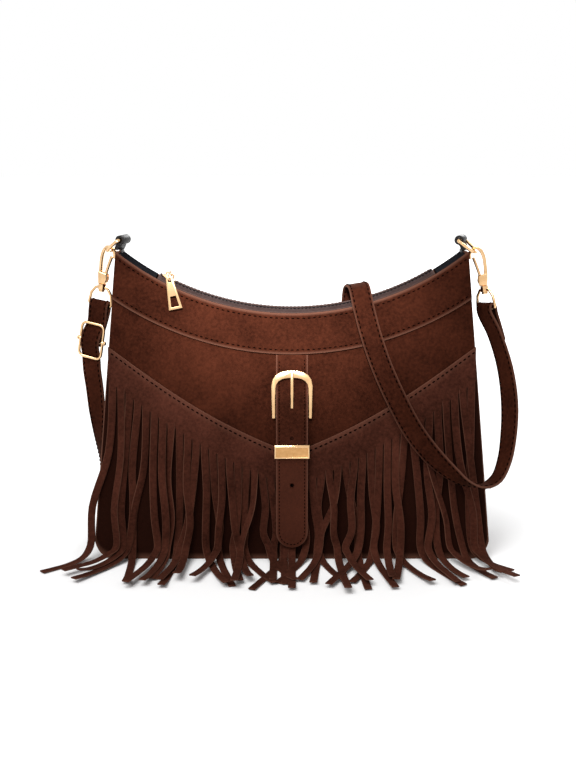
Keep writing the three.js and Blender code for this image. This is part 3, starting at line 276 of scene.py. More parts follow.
# The panel's suede again, painted lighter for the fringe and the buckle's chape: painted light.
PAINTED_LIGHT_SUEDE = Finish(
    "deep_suede",
    dark=(0.0215, 0.0063, 0.0037),
    light=(0.0660, 0.0199, 0.0120),
    roughness=0.92,
    sheen=0.03,
    sheen_tint=(0.9, 0.45, 0.3),
    edge=(0.095, 0.039, 0.025),
    specular=0.02,
)
TONGUE_SUEDE = Finish(
    "tongue_suede",
    dark=(0.0135, 0.0034, 0.0017),
    light=(0.0470, 0.0122, 0.0060),
    roughness=0.92,
    sheen=0.03,
    sheen_tint=(0.9, 0.45, 0.3),
    edge=(0.092, 0.038, 0.025),
    # Painted light: the tongue turns lighter below the buckle towards its tip.
    under=(0.0830, 0.0257, 0.0153),
    specular=0.02,
)
FACING = Finish(
    "mauve_facing",
    dark=(0.017, 0.0095, 0.0085),
    light=(0.034, 0.020, 0.018),
    roughness=0.85,
    sheen=0.1,
    sheen_tint=(0.8, 0.7, 0.7),
    weave_scale=220,
    grain_depth=0.00003,
    edge=(0.05, 0.03, 0.026),
    specular=0.08,
)
THREAD = Finish(
    "brown_thread",
    dark=(0.0012, 0.0005, 0.0004),
    light=(0.0032, 0.0011, 0.0008),
    roughness=0.9,
    grain_scale=2500,
    specular=0.0,
)
BLACK_LEATHER = Finish(
    "tab_leather",
    dark=(0.006, 0.005, 0.005),
    light=(0.016, 0.014, 0.014),
    roughness=0.45,
    grain_scale=500,
    grain_depth=0.00003,
    specular=0.25,
)
BLACK_TAPE = Finish(
    "zip_weave",
    dark=(0.005, 0.005, 0.006),
    light=(0.012, 0.012, 0.014),
    roughness=0.8,
    weave_scale=260,
    grain_depth=0.00002,
    specular=0.0,
)
GOLD = Finish(
    "polished_gold",
    dark=(0.76, 0.47, 0.23),
    light=(0.90, 0.61, 0.34),
    roughness=0.19,
    metallic=1.0,
    grain_scale=400,
    grain_depth=0.00001,
    specular=0.5,
)
BRUSHED_GOLD = Finish(
    "brushed_gold",
    dark=(0.52, 0.27, 0.10),
    light=(0.66, 0.38, 0.16),
    roughness=0.32,
    metallic=1.0,
    grain_scale=700,
    grain_depth=0.00002,
    specular=0.5,
)


def dress(piece: bpy.types.Object, finish: Finish, slot: Slot) -> None:
    """Gives a piece its finish.

    Args:
        piece: the object to dress.
        finish: the finish it takes.
        slot: the record's material slot; not used.
    """
    piece.data.materials.clear()
    piece.data.materials.append(finish.make())


# Mesh work shared by the pieces


def deselect() -> None:
    """Leaves edit mode and selects nothing."""
    if bpy.context.mode != "OBJECT":
        bpy.ops.object.mode_set(mode="OBJECT")
    bpy.ops.object.select_all(action="DESELECT")


def activate(piece: bpy.types.Object) -> None:
    """Makes one piece the only selected and active one."""
    deselect()
    piece.select_set(True)
    bpy.context.view_layer.objects.active = piece


def smooth_by_angle(piece: bpy.types.Object, degrees: float = 35.0) -> None:
    """Shades a piece smooth, apart from its sharp edges."""
    activate(piece)
    bpy.ops.object.shade_smooth_by_angle(angle=math.radians(degrees))


def apply_modifier(piece: bpy.types.Object, kind: str, **settings: object) -> None:
    """Adds a modifier with these settings and applies it.

    Args:
        piece: the object that takes it.
        kind: Blender's name for the kind of modifier.
        **settings: its settings by name.
    """
    activate(piece)
    modifier = piece.modifiers.new(kind.lower(), kind)
    for key, value in settings.items():
        setattr(modifier, key, value)
    bpy.ops.object.modifier_apply(modifier=modifier.name)


def recalculate(piece: bpy.types.Object) -> None:
    """Merges doubles and turns every face outwards."""
    activate(piece)
    bpy.ops.object.mode_set(mode="EDIT")
    bpy.ops.mesh.select_all(action="SELECT")
    bpy.ops.mesh.remove_doubles(threshold=1e-6)
    bpy.ops.mesh.normals_make_consistent(inside=False)
    bpy.ops.object.mode_set(mode="OBJECT")


def mark_edge(piece: bpy.types.Object, values: Iterable[float], mark: str = "edge") -> None:
    """Stores how much each point takes a mark's tone, from 0 to 1, for the finish to read: real wear with a
    painted highlight, painted shade or painted light.
    """
    attribute = piece.data.attributes.get(mark) or piece.data.attributes.new(mark, "FLOAT", "POINT")
    attribute.data.foreach_set("value", list(values))


def mesh_piece(name: str, points: Sequence[Vector], faces: Sequence[Sequence[int]]) -> bpy.types.Object:
    """A soft piece from its points and faces.

    Args:
        name: the piece's name.
        points: its points, in metres.
        faces: its faces as indices of points.

    Returns:
        The new object, at the origin.
    """
    mesh = bpy.data.meshes.new(name)
    mesh.from_pydata([tuple(p) for p in points], [], [tuple(f) for f in faces])
    mesh.update()
    piece = bpy.data.objects.new(name, mesh)
    bpy.context.scene.collection.objects.link(piece)
    return piece


def grid_piece(
    name: str, columns: int, rows: int, place: Place, thickness: float, wear_and_highlight: float = 0.0
) -> bpy.types.Object:
    """A sheet shaped from a grid, with its thickness behind the given face.

    Args:
        name: the piece's name.
        columns: cells across, along the first value.
        rows: cells along the second value.
        place: gives a point for values that run from -1 to 1.
        thickness: the sheet's thickness, on the side that its normals point away from.
        wear_and_highlight: how far in from its border the sheet is lightened for real wear and a painted
            highlight, as a share of the grid.

    Returns:
        The new object, at the origin.
    """
    deselect()
    bpy.ops.mesh.primitive_grid_add(x_subdivisions=columns, y_subdivisions=rows, size=2)
    piece = bpy.context.object
    piece.name = name
    borders = []
    for vertex in piece.data.vertices:
        u, v = vertex.co.x, vertex.co.y
        vertex.co = place(u, v)
        inset = min((1 - abs(u)) * columns / 2, (1 - abs(v)) * rows / 2)
        # Edge mark: real wear with a painted highlight, rising towards the border.
        borders.append(1 - smoothstep(inset, 0.0, wear_and_highlight) if wear_and_highlight else 0.0)
    mark_edge(piece, borders)
    apply_modifier(piece, "SOLIDIFY", thickness=thickness, offset=-1, use_rim=True)
    apply_modifier(piece, "BEVEL", width=thickness * 0.3, segments=2, limit_method="ANGLE", angle_limit=1.0)
    smooth_by_angle(piece, 50)
    return piece


def band_piece(name: str, rings: Sequence[Sequence[Vector]], wear_and_highlight: Sequence[float]) -> bpy.types.Object:
    """A closed band through rings of points, capped at both ends.

    Args:
        name: the piece's name.
        rings: the band's cross-sections, each of equally many points.
        wear_and_highlight: how much each point of a ring is lightened for real wear and a painted highlight.

    Returns:
        The new object, at the origin.
    """
    points, faces, marks = band_parts(rings, wear_and_highlight)
    piece = mesh_piece(name, points, faces)
    mark_edge(piece, marks)
    recalculate(piece)
    return piece


def band_parts(
    rings: Sequence[Sequence[Vector]], wear_and_highlight: Sequence[float], start: int = 0
) -> tuple[list[Vector], list[list[int]], list[float]]:
    """The points, faces and wear of a closed band.

    Args:
        rings: the band's cross-sections, each of equally many points.
        wear_and_highlight: how much each point of a ring is lightened for real wear and a painted highlight.
        start: the index that its first point gets.

    Returns:
        The points, the faces as indices and each point's wear with its painted highlight.
    """
    count = len(rings[0])
    faces: list[list[int]] = []
    for i in range(len(rings) - 1):
        low, high = start + i * count, start + (i + 1) * count
        for j in range(count):
            k = (j + 1) % count
            faces.append([low + j, low + k, high + k, high + j])
    top = start + (len(rings) - 1) * count
    faces.append([start + j for j in reversed(range(count))])
    faces.append([top + j for j in range(count)])
    return [p for ring in rings for p in ring], faces, [w for _ in rings for w in wear_and_highlight]


def flat_section(width: float, thickness: float) -> tuple[list[tuple[float, float]], list[float]]:
    """The section of a strip with rounded edges, and how much each of its points is lightened for real wear and
    a painted highlight.
    """
    wide, thin = width / 2, thickness / 2
    soft = thickness * 0.35
    half = [(wide - soft, thin), (wide, thin - soft), (wide, soft - thin), (wide - soft, -thin)]
    middle = [wide * 0.8, 0.0, -wide * 0.8]
    front = [(x, thin * 1.04) for x in reversed(middle)]
    back = [(x, -thin) for x in middle]
    other = [(-x, y) for x, y in reversed(half)]
    section = [*front, *half, *back, *other]
    # Edge mark: real wear with a painted highlight at the strip's sides.
    wear_and_highlight = [clamp((abs(x) - wide * 0.86) / (wide * 0.14), 0, 1) for x, _ in section]
    return section, wear_and_highlight


class StitchRow:
    """Sewn stitches along a line, modelled once and copied."""

    def __init__(self, length: float = 2.6 * MM, pitch: float = 4.1 * MM, thread: float = 0.55 * MM) -> None:
        """Keeps the stitch's length, its pitch and its thread's radius."""
        self.length = length
        self.pitch = pitch
        self.thread = thread

    def template(self) -> tuple[list[Vector], list[list[int]]]:
        """One stitch lying along x, shaped from a small ball."""
        deselect()
        bpy.ops.mesh.primitive_uv_sphere_add(segments=6, ring_count=4, radius=1)
        ball = bpy.context.object
        points = [
            Vector((p.co.z * self.length / 2, p.co.x * self.thread, p.co.y * self.thread))
            for p in ball.data.vertices
        ]
        faces = [list(face.vertices) for face in ball.data.polygons]
        mesh = ball.data
        bpy.data.objects.remove(ball)
        bpy.data.meshes.remove(mesh)
        return points, faces

    def build(self, name: str, lines: Sequence[Sequence[Vector]]) -> bpy.types.Object:
        """Lays stitches along lines as one piece.

        Args:
            name: the piece's name.
            lines: lines of points that the thread follows on the surface.

        Returns:
            The stitches as one object.
        """
        shape, shape_faces = self.template()
        points: list[Vector] = []
        faces: list[list[int]] = []
        for line in lines:
            for centre, along in self.places(line):
                side = along.cross(Vector((0, 0, 1)))
                side = side.normalized() if side.length > 1e-4 else Vector((1, 0, 0))
                up = along.cross(side)
                start = len(points)
                points += [centre + along * p.x + side * p.y + up * p.z for p in shape]
                faces += [[start + i for i in face] for face in shape_faces]
        for point in points:
            point.z = max(point.z, 0.05 * MM)
        piece = mesh_piece(name, points, faces)
        recalculate(piece)
        for polygon in piece.data.polygons:
            polygon.use_smooth = True
        dress(piece, THREAD, Slot.SUEDE)
        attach(piece, BODY)
        return piece

    def places(self, line: Sequence[Vector]) -> list[tuple[Vector, Vector]]:
        """The middle and direction of each stitch along a line."""
        found = []
        travelled, due = 0.0, self.pitch / 2
        for a, b in zip(line, line[1:]):
            reach = (b - a).length
            while reach > 0 and due <= travelled + reach:
                found.append((a.lerp(b, (due - travelled) / reach), (b - a).normalized()))
                due += self.pitch
            travelled += reach
        return found


# The bag's own form, in metres


@dataclass(frozen=True)
class BagForm:
    """The bag's outline and depth, as its solids have them."""

    base_width: float = 300 * MM
    top_width: float = 265 * MM
    corner_height: float = 233 * MM
    mouth_sag: float = 47 * MM
    base_depth: float = 80 * MM
    mouth_depth: float = 24 * MM
    belly: float = 5 * MM
    base_corner: float = 14 * MM
    panel: float = 1.6 * MM
    clear: float = 0.3 * MM
    yoke_width: float = 30 * MM
    yoke_thick: float = 1.6 * MM

    @property
    def mouth_radius(self) -> float:
        """Radius of the mouth's arc."""
        return ((self.top_width / 2) ** 2 + self.mouth_sag**2) / (2 * self.mouth_sag)

    @property
    def mouth_centre(self) -> float:
        """Height of the mouth arc's centre."""
        return self.corner_height - self.mouth_sag + self.mouth_radius

    @property
    def zip_edge(self) -> float:
        """Half the width of the zip's strip between the panels."""
        return self.mouth_depth / 2 - self.panel - self.clear

    def arc_height(self, x: float, radius: float) -> float:
        """Height of an arc about the mouth's centre."""
        return self.mouth_centre - math.sqrt(radius**2 - x**2)

    def hem_height(self, x: float) -> float:
        """Height of the rounded lower edge."""
        past = clamp(abs(x) - (self.base_width / 2 - self.base_corner), 0, self.base_corner)
        return self.base_corner - math.sqrt(self.base_corner**2 - past**2)

    def outline(self, u: float, v: float) -> tuple[float, float]:
        """x and height for a place across, -1 to 1, and up, 0 to 1, the wall."""
        x = u * lerp(self.base_width, self.top_width, v) / 2
        low = self.hem_height(u * self.base_width / 2)
        return x, lerp(low, self.arc_height(u * self.top_width / 2, self.mouth_radius), v)

    def half_depth(self, u: float, v: float) -> float:
        """Half the bag's depth at a place on the wall."""
        swell = self.belly * math.sin(math.pi * v) * (1 - u**2)
        return lerp(self.base_depth, self.mouth_depth, v) / 2 + swell

    def wall_depth(self, x: float, z: float) -> float:
        """Half the bag's depth at a place given by x and height."""
        u, v = 0.0, 0.5
        for _ in range(8):
            u = clamp(x / (lerp(self.base_width, self.top_width, v) / 2), -1, 1)
            low = self.hem_height(u * self.base_width / 2)
            high = self.arc_height(u * self.top_width / 2, self.mouth_radius)
            v = clamp((z - low) / (high - low), 0, 1)
        return self.half_depth(u, v)

    def on_wall(self, x: float, z: float, out: float, side: Side = Side.FRONT) -> Vector:
        """A point that far off the front or back wall."""
        return Vector((x, side.value * (self.wall_depth(x, z) + out), z))

    def on_zip(self, angle: float, y: float, height: float) -> Vector:
        """A point on the zip by its angle in degrees, its y and its height over the mouth's arc."""
        radius = self.mouth_radius - height
        turn = math.radians(angle)
        return Vector((radius * math.sin(turn), y, self.mouth_centre - radius * math.cos(turn)))


FORM = BagForm()


@dataclass
class Shell:
    """The suede shell: two panels, the gusset and the yoke bands, with their seams."""

    columns: int = 64
    rows: int = 40
    slack: float = 0.7 * MM
    stitch_inset: float = 3.2 * MM
    # Height below which the panel's middle, behind the tongue, is painted fully dark as painted shade.
    tongue_gap: float = 112 * MM

    def build(self) -> None:
        """Makes the shell's pieces and its stitching."""
        for side, word in ((Side.FRONT, "front"), (Side.BACK, "back")):
            self.panel(side, word)
            self.yoke(side, word)
        self.gusset()
        self.stitches()

    def ease(self, x: float, z: float) -> float:
        """How far the soft wall stands off its even form."""
        waves = math.sin(x * 31 + 1.3) * math.sin(z * 27 + 0.4) + 0.6 * math.sin(x * 73 + z * 41)
        return self.slack * 0.5 * waves

    def panel(self, side: Side, word: str) -> None:
        """One panel, eased like soft suede and pinched towards its edges, the front one with painted shade under
        the fringe and behind the tongue.
        """

        def place(u: float, v: float) -> Vector:
            across = math.sin(u * math.pi / 2) * -side.value
            up = (v + 1) / 2
            x, z = FORM.outline(across, up)
            hold = (1 - across**2) * math.sin(math.pi * up)
            depth = FORM.half_depth(across, up) + self.ease(x, z) * hold - 0.1 * MM
            return Vector((x, side.value * depth, z))

        piece = grid_piece(f"{word}_panel_suede", self.columns, self.rows, place, FORM.panel, wear_and_highlight=0.8)
        # Painted shade: darker below the fringe's band, and fully dark in the column behind the tongue, seen
        # through its holes.
        if side is Side.FRONT:
            cover = Fringe()
            shade = []
            for point in (vertex.co for vertex in piece.data.vertices):
                depth = cover.seam_height(point.x) - 8 * MM - point.z
                behind_tongue = abs(point.x) < 1 * MM and point.z < self.tongue_gap
                shade.append(1.0 if behind_tongue else 0.85 * smoothstep(depth, 0.0, 14 * MM))
            mark_edge(piece, shade, "under")
        self.finish(piece, f"{word}_panel")

    def gusset(self) -> None:
        """The strip down, under and up between the panels, hollowed between its seams."""
        side_length = FORM.corner_height
        total = 2 * side_length + FORM.base_width

        def station(s: float) -> tuple[float, float, float]:
            """x, height and half depth at a distance along the strip."""
            if s < side_length:
                u, v = -1.0, 1 - s / side_length
            elif s > total - side_length:
                u, v = 1.0, (s - total + side_length) / side_length
            else:
                u, v = math.sin(((s - side_length) / FORM.base_width - 0.5) * math.pi), 0.0
            x, z = FORM.outline(u, v)
            return x, z, FORM.wall_depth(x, z) - FORM.panel - FORM.clear

        def place(u: float, v: float) -> Vector:
            s = (u + 1) / 2 * total
            x, z, half = station(s)
            upright = clamp(min(s, total - s) / side_length, 0, 1) < 0.98
            dip = 2.2 * MM * (1 - v**2) * (1 if upright else 0)
            return Vector((x - math.copysign(dip, x), -v * half, z))

        piece = grid_piece("gusset_suede", 90, 10, place, FORM.panel, wear_and_highlight=0.8)
        self.finish(piece, "gusset")

    def yoke_half(self) -> float:
        """Half the width of a yoke's lower edge."""
        half = FORM.top_width / 2
        for _ in range(20):
            z = FORM.arc_height(half, FORM.mouth_radius + FORM.yoke_width)
            v = (z - FORM.base_corner) / (FORM.corner_height - FORM.base_corner)
            half = lerp(FORM.base_width, FORM.top_width, v) / 2
        return half

    def yoke_point(self, u: float, w: float, out: float, side: Side) -> Vector:
        """A point on a yoke: across from -1 to 1, and down from the mouth, 0, to its lower edge, 1."""
        low = self.yoke_half()
        top = FORM.top_width / 2
        z = lerp(
            FORM.arc_height(u * top, FORM.mouth_radius),
            FORM.arc_height(u * low, FORM.mouth_radius + FORM.yoke_width),
            w,
        )
        return FORM.on_wall(u * lerp(top, low, w), z, out, side)

    def yoke(self, side: Side, word: str) -> None:
        """One yoke band, puffed between its sewn edges."""

        def place(u: float, v: float) -> Vector:
            across = math.sin(u * math.pi / 2) * -side.value
            down = (1 - v) / 2
            puff = 0.5 * MM * math.sin(math.pi * down) ** 0.5 if 0 < down < 1 else 0.0
            return self.yoke_point(across, down, FORM.clear + FORM.yoke_thick + puff, side)

        piece = grid_piece(f"{word}_yoke_suede", self.columns, 14, place, FORM.yoke_thick, wear_and_highlight=0.9)
        self.finish(piece, f"{word}_yoke")

    def finish(self, piece: bpy.types.Object, node: str) -> None:
        """Dresses one piece and lets it stand for its solid."""
        dress(piece, SUEDE, Slot.SUEDE)
        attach(piece, BODY)
        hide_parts(node)
        LOG.info("%s stands for %s", piece.name, node)

    def stitches(self) -> None:
        """Stitching along the upper and lower edge of both yokes."""
        row = StitchRow()
        for side, word in ((Side.FRONT, "front"), (Side.BACK, "back")):
            out = FORM.clear + FORM.yoke_thick + 0.15 * MM
            across = [math.sin(t / 60 * math.pi / 2) for t in range(-60, 61)]
            inset = self.stitch_inset / FORM.yoke_width
            lines = [
                [self.yoke_point(u * 0.985, 1 - inset, out, side) for u in across],
                [self.yoke_point(u * 0.985, inset * 1.1, out, side) for u in across],
            ]
            LOG.info("%s", row.build(f"{word}_stitching", lines).name)


@dataclass
class Fringe:
    """The band along the V seam, slit into strands that drape down the front and out over the floor."""

    width: float = 278 * MM
    thick: float = 1.2 * MM
    gap: float = 0.5 * MM
    seam_low: float = 81 * MM
    seam_high: float = 162 * MM
    seam_bow: float = 7 * MM
    seam_round: float = 6 * MM
    band: float = 26 * MM
    strands: int = 44
    slit: float = 0.6 * MM
    root: float = 3 * MM
    layer_gap: float = 0.15 * MM
    layers: int = 4
    floor_run: float = 65 * MM
    floor_spread: float = 22 * MM
    side_flare: float = 12 * MM
    sway: float = 11 * MM
    wild_every: int = 5
    wild: float = 1.8
    tongue_width: float = 24 * MM
    steps: int = 5

    @property
    def middle(self) -> float:
        """Distance of the strands' middle from the wall."""
        return self.gap + self.thick / 2

    def seam_height(self, x: float) -> float:
        """Height of the V seam."""
        half = self.width / 2
        along = math.hypot(x, self.seam_round) / math.hypot(half, self.seam_round)
        return lerp(self.seam_low, self.seam_high, along) - self.seam_bow * math.sin(math.pi * along)

    def strand_line(self, strand: int) -> tuple[list[Vector], float, float]:
        """The middle line of one strand, its heading on the floor and its twist."""
        x = (strand + 0.5) * self.width / self.strands - self.width / 2
        reach = x / (self.width / 2)
        top = self.seam_height(x) - self.band + self.root
        central = abs(x) < self.tongue_width
        loose = self.wild if strand % self.wild_every == 2 else 1.0
        sway = self.side_flare * reach**3 + self.sway * loose * vary(strand, 1) * (0.4 if central else 1)
        lift = 0.0 if central else (strand * 3) % self.layers * (self.thick + self.layer_gap)
        heading = clamp(0.45 * vary(strand, 2) + 0.75 * reach**3, -0.8, 0.95)
        run = self.floor_run + self.floor_spread * vary(strand, 3) * 0.5 - 16 * MM * abs(reach)
        bulge = 0.0 if central else 1.2 * MM * (1 + vary(strand, 4))
        foot = x + sway
        front = FORM.base_depth / 2 + self.middle + lift
        rest = self.thick / 2 + FORM.clear + lift

        def on_floor(far: float, height: float) -> Vector:
            return Vector((foot + far * math.sin(heading), -front - far * math.cos(heading), height))

        bend = foot + 4 * MM * vary(strand, 5)
        low = self.middle + lift + bulge
        points = [
            FORM.on_wall(x, top, self.middle),
            FORM.on_wall(x, top - self.root - 4 * MM, self.middle),
            FORM.on_wall(lerp(x, foot, 0.3) + 2 * MM * vary(strand, 6), top * 0.6, low),
            FORM.on_wall(lerp(x, bend, 0.75), top * 0.3, low),
            Vector((foot, -front - 0.4 * MM, 11 * MM)),
            on_floor(7 * MM, rest + 2.6 * MM),
            on_floor(20 * MM, rest),
            on_floor(lerp(20 * MM, run, 0.55), rest),
            on_floor(run, rest + 1.5 * MM * (1 + vary(strand, 7))),
        ]
        return points, heading, 0.45 * loose * vary(strand, 8)

    def strand_rings(self, strand: int) -> tuple[list[list[Vector]], list[float]]:
        """The cross-sections of one strand, and the wear with painted highlight of a section's points."""
        points, heading, twist = self.strand_line(strand)
        line = curve_points(points, self.steps)
        section, wear_and_highlight = flat_section(self.width / self.strands - self.slit, self.thick)
        rings = []
        for i, centre in enumerate(line):
            t = i / (len(line) - 1)
            along = (line[min(i + 1, len(line) - 1)] - line[max(i - 1, 0)]).normalized()
            turn = heading * smoothstep(t, 0.4, 0.75)
            across = Vector((math.cos(turn), math.sin(turn), 0))
            across.rotate(Matrix.Rotation(twist * math.sin(math.pi * clamp(t * 1.6, 0, 1)), 3, along))
            across = (across - along * across.dot(along)).normalized()
            out = along.cross(across)
            ring = [centre + across * a + out * b for a, b in section]
            push = max(0.0, *(p.y + FORM.wall_depth(p.x, p.z) + self.gap for p in ring))
            low = max(0.0, 0.1 * MM - min(p.z for p in ring))
            rings.append([p + Vector((0, -push, low)) for p in ring])
        return rings, wear_and_highlight

    def build(self) -> bpy.types.Object:
        points: list[Vector] = []
        faces: list[list[int]] = []
        marks: list[float] = []
        area = 0.0
        parts = [self.strand_rings(strand) for strand in range(self.strands)]
        parts.append(self.band_rings())
        for rings, wear_and_highlight in parts:
            area += self.flat_area(rings)
            more, more_faces, more_marks = band_parts(rings, wear_and_highlight, len(points))
            points += more
            faces += more_faces
            marks += more_marks
        piece = mesh_piece("fringe_suede", points, faces)
        mark_edge(piece, marks)
        recalculate(piece)
        smooth_by_angle(piece, 60)
        dress(piece, PAINTED_LIGHT_SUEDE, Slot.SUEDE)
        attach(piece, BODY)
        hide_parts("fringe")
        stitching = self.stitches()
        LOG.info("fringe of %d strands, %.4f square metres", self.strands, area)
        return piece

    def flat_area(self, rings: Sequence[Sequence[Vector]]) -> float:
        """The area of one face of a band."""
        middles = [sum(ring, Vector()) / len(ring) for ring in rings]
        width = max((a - b).length for a in rings[0] for b in rings[0])
        return width * sum((b - a).length for a, b in zip(middles, middles[1:]))

    def band_rings(self) -> tuple[list[list[Vector]], list[float]]:
        """Cross-sections of the uncut band, from its left end to its right."""
        rings = []
        drops = [0.0, 0.03, 0.3, 0.6, 0.97, 1.0]
        count = 72
        for i in range(count + 1):
            x = (i / count - 0.5) * self.width
            high = self.seam_height(x)
            outer = []
            for drop in drops:
                rounded = 0.7 if drop in (0.0, 1.0) else 1.0
                outer.append(FORM.on_wall(x, high - self.band * drop, self.gap + self.thick * rounded))
            inner = [FORM.on_wall(x, high - self.band * d, self.gap) for d in reversed(drops)]
            rings.append([*outer, *inner])
        # Edge mark: real wear with a painted highlight at the band's upper and lower edges.
        wear_and_highlight = [0.9, 0.4, 0, 0, 0, 0, 0, 0, 0, 0, 0.4, 0.9]
        return rings, wear_and_highlight

    def stitches(self) -> bpy.types.Object:
        """Stitching along the V seam."""
        xs = [(i / 120 - 0.5) * (self.width - 3 * MM) for i in range(121)]
        out = self.gap + self.thick + 0.12 * MM
        line = [FORM.on_wall(x, self.seam_height(x) - 3.2 * MM, out) for x in xs]
        return StitchRow().build("fringe_stitching", [line])


@dataclass
class Strap:
    """The strap: from the adjuster through the left eye, behind the bag, over its mouth and to the right eye."""

    width: float = 16 * MM
    thick: float = 2 * MM
    steps: int = 4

    def route(self) -> list[tuple[float, float, float, float, float, float]]:
        """Points of the strap's middle line, in metres, each with the direction across it."""
        points = [
            (-155.26, 8.68, 158.06, 0.925, -0.337, -0.174),
            (-153.82, 8.58, 165.94, 0.925, -0.337, -0.174),
            (-150.8, 9.6, 175.1, 0.925, -0.337, -0.174),
            (-147.8, 10.1, 185.8, 0.93, -0.339, -0.139),
            (-147.3, 9.9, 189.8, 0.93, -0.339, -0.139),
            (-147.2, 9.2, 191.8, 0.93, -0.339, -0.139),
            (-147.9, 7.2, 192.7, 0.93, -0.339, -0.139),
            (-148.8, 5.2, 191.8, 0.93, -0.339, -0.139),
            (-149.2, 4.6, 189.8, 0.93, -0.339, -0.139),
            (-149.8, 4.8, 185.8, 0.93, -0.339, -0.139),
            (-151.5, 7.5, 175.1, 0.925, -0.337, -0.174),
            (-154.5, 5.3, 168.9, 0.925, -0.337, -0.174),
            (-156.5, 3.3, 162, 0.925, -0.337, -0.174),
            (-156.8, 6.1, 155.1, 0.925, -0.337, -0.174),
            (-156.7, 9.5, 148.7, 0.925, -0.337, -0.174),
            (-156.4, 9.8, 138, 0.92, -0.36, -0.1),
            (-154.8, 9.5, 124, 0.92, -0.39, 0),
            (-153.6, 10, 106, 0.88, -0.47, 0),
            (-152.8, 13, 85, 0.65, -0.76, 0),
            (-152.6, 20, 62, 0.25, -0.97, 0),
            (-153.2, 31, 39, 0.08, -0.99, 0),
            (-153, 46.5, 18, 0.05, -0.99, -0.08),
            (-147.5, 55, 6.5, 0.03, -0.99, -0.05),
            (-131, 57, 2.2, 0, -1, 0),
            (-90, 56.5, 1.5, 0, -1, 0),
            (-45, 56.5, 1.5, 0, -1, 0),
            (0, 56, 2, 0, -1, 0),
            (22, 55, 7, 0.05, -1, -0.05),
            (36, 53, 19, 0.15, -0.97, -0.12),
            (42, 49.5, 38, 0.5, -0.86, 0),
            (43.5, 43.2, 62, 0.85, -0.5, 0),
            (44, 34.6, 92, 1, 0, 0),
            (45, 27, 130, 1, 0, 0),
            (46, 21.8, 165, 1, 0, 0),
            (46.5, 18.8, 186, 1, 0, 0),
            (47.2, 16.2, 198, 1, 0, 0.05),
            (48.2, 9.5, 204.5, 1, 0.03, 0.12),
            (49.5, 0, 206.4, 1, 0.06, 0.18),
            (50.4, -11.5, 206.6, 0.98, 0.05, 0.2),
            (51.2, -19.5, 204, 0.98, 0.03, 0.22),
            (52.6, -24, 197, 0.97, 0.02, 0.25),
            (55, -25.8, 187, 0.96, 0, 0.28),
            (59.6, -27.4, 170.6, 0.95, 0, 0.32),
            (68.2, -29.2, 146.4, 0.92, 0, 0.38),
            (79.2, -33.8, 122.6, 0.89, 0, 0.46),
            (91.2, -39.4, 101, 0.83, -0.06, 0.55),
            (104.8, -44, 83.8, 0.74, -0.28, 0.61),
            (118.4, -47.4, 71.5, 0.55, -0.6, 0.58),
            (131.2, -50.6, 63.6, 0.3, -0.88, 0.36),
            (143.5, -51.6, 61.6, 0.1, -0.98, 0.12),
            (153, -50, 66.5, 0.2, -0.97, -0.1),
            (159.6, -44.5, 79, 0.42, -0.9, -0.1),
            (163.6, -36, 98, 0.6, -0.8, 0),
            (164.8, -28, 120, 0.66, -0.75, 0),
            (161.6, -20.4, 146, 0.62, -0.78, 0.06),
            (153.6, -14, 171.4, 0.57, -0.82, 0.11),
            (146.7, -9.2, 185.6, 0.566, -0.816, 0.114),
            (145.9, -9, 189.6, 0.566, -0.816, 0.114),
            (146.3, -8.4, 191.7, 0.566, -0.816, 0.114),
            (147.9, -7.2, 192.7, 0.566, -0.816, 0.114),
            (149.7, -6, 191.9, 0.566, -0.816, 0.114),
            (150.7, -5.6, 190, 0.566, -0.816, 0.114),
            (151.7, -5.6, 185.1, 0.566, -0.816, 0.114),
            (154.8, -7.2, 175, 0.57, -0.82, 0.11),
            (157.8, -9, 164.4, 0.57, -0.82, 0.11),
        ]
        return [(x * MM, y * MM, z * MM, a, b, c) for x, y, z, a, b, c in points]

    def build(self) -> bpy.types.Object:
        """Makes the strap and its edge stitching."""
        route = self.route()
        line = curve_points([Vector(p[:3]) for p in route], self.steps)
        across = curve_points([Vector(p[3:]) for p in route], self.steps)
        section, wear_and_highlight = flat_section(self.width, self.thick)
        rings = []
        seams: list[list[Vector]] = [[], [], [], []]
        for i, centre in enumerate(line):
            along = (line[min(i + 1, len(line) - 1)] - line[max(i - 1, 0)]).normalized()
            side = (across[i] - along * across[i].dot(along)).normalized()
            out = side.cross(along)
            rings.append([centre + side * a + out * b for a, b in section])
            inset = self.width / 2 - 2 * MM
            for k, (a, b) in enumerate(((inset, 1), (-inset, 1), (inset, -1), (-inset, -1))):
                seams[k].append(centre + side * a + out * b * (self.thick / 2 + 0.1 * MM))
        piece = band_piece("strap_suede", rings, wear_and_highlight)
        smooth_by_angle(piece, 50)
        dress(piece, SUEDE, Slot.SUEDE)
        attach(piece, BODY)
        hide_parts("strap")
        stitching = StitchRow().build("strap_stitching", seams)
        return piece


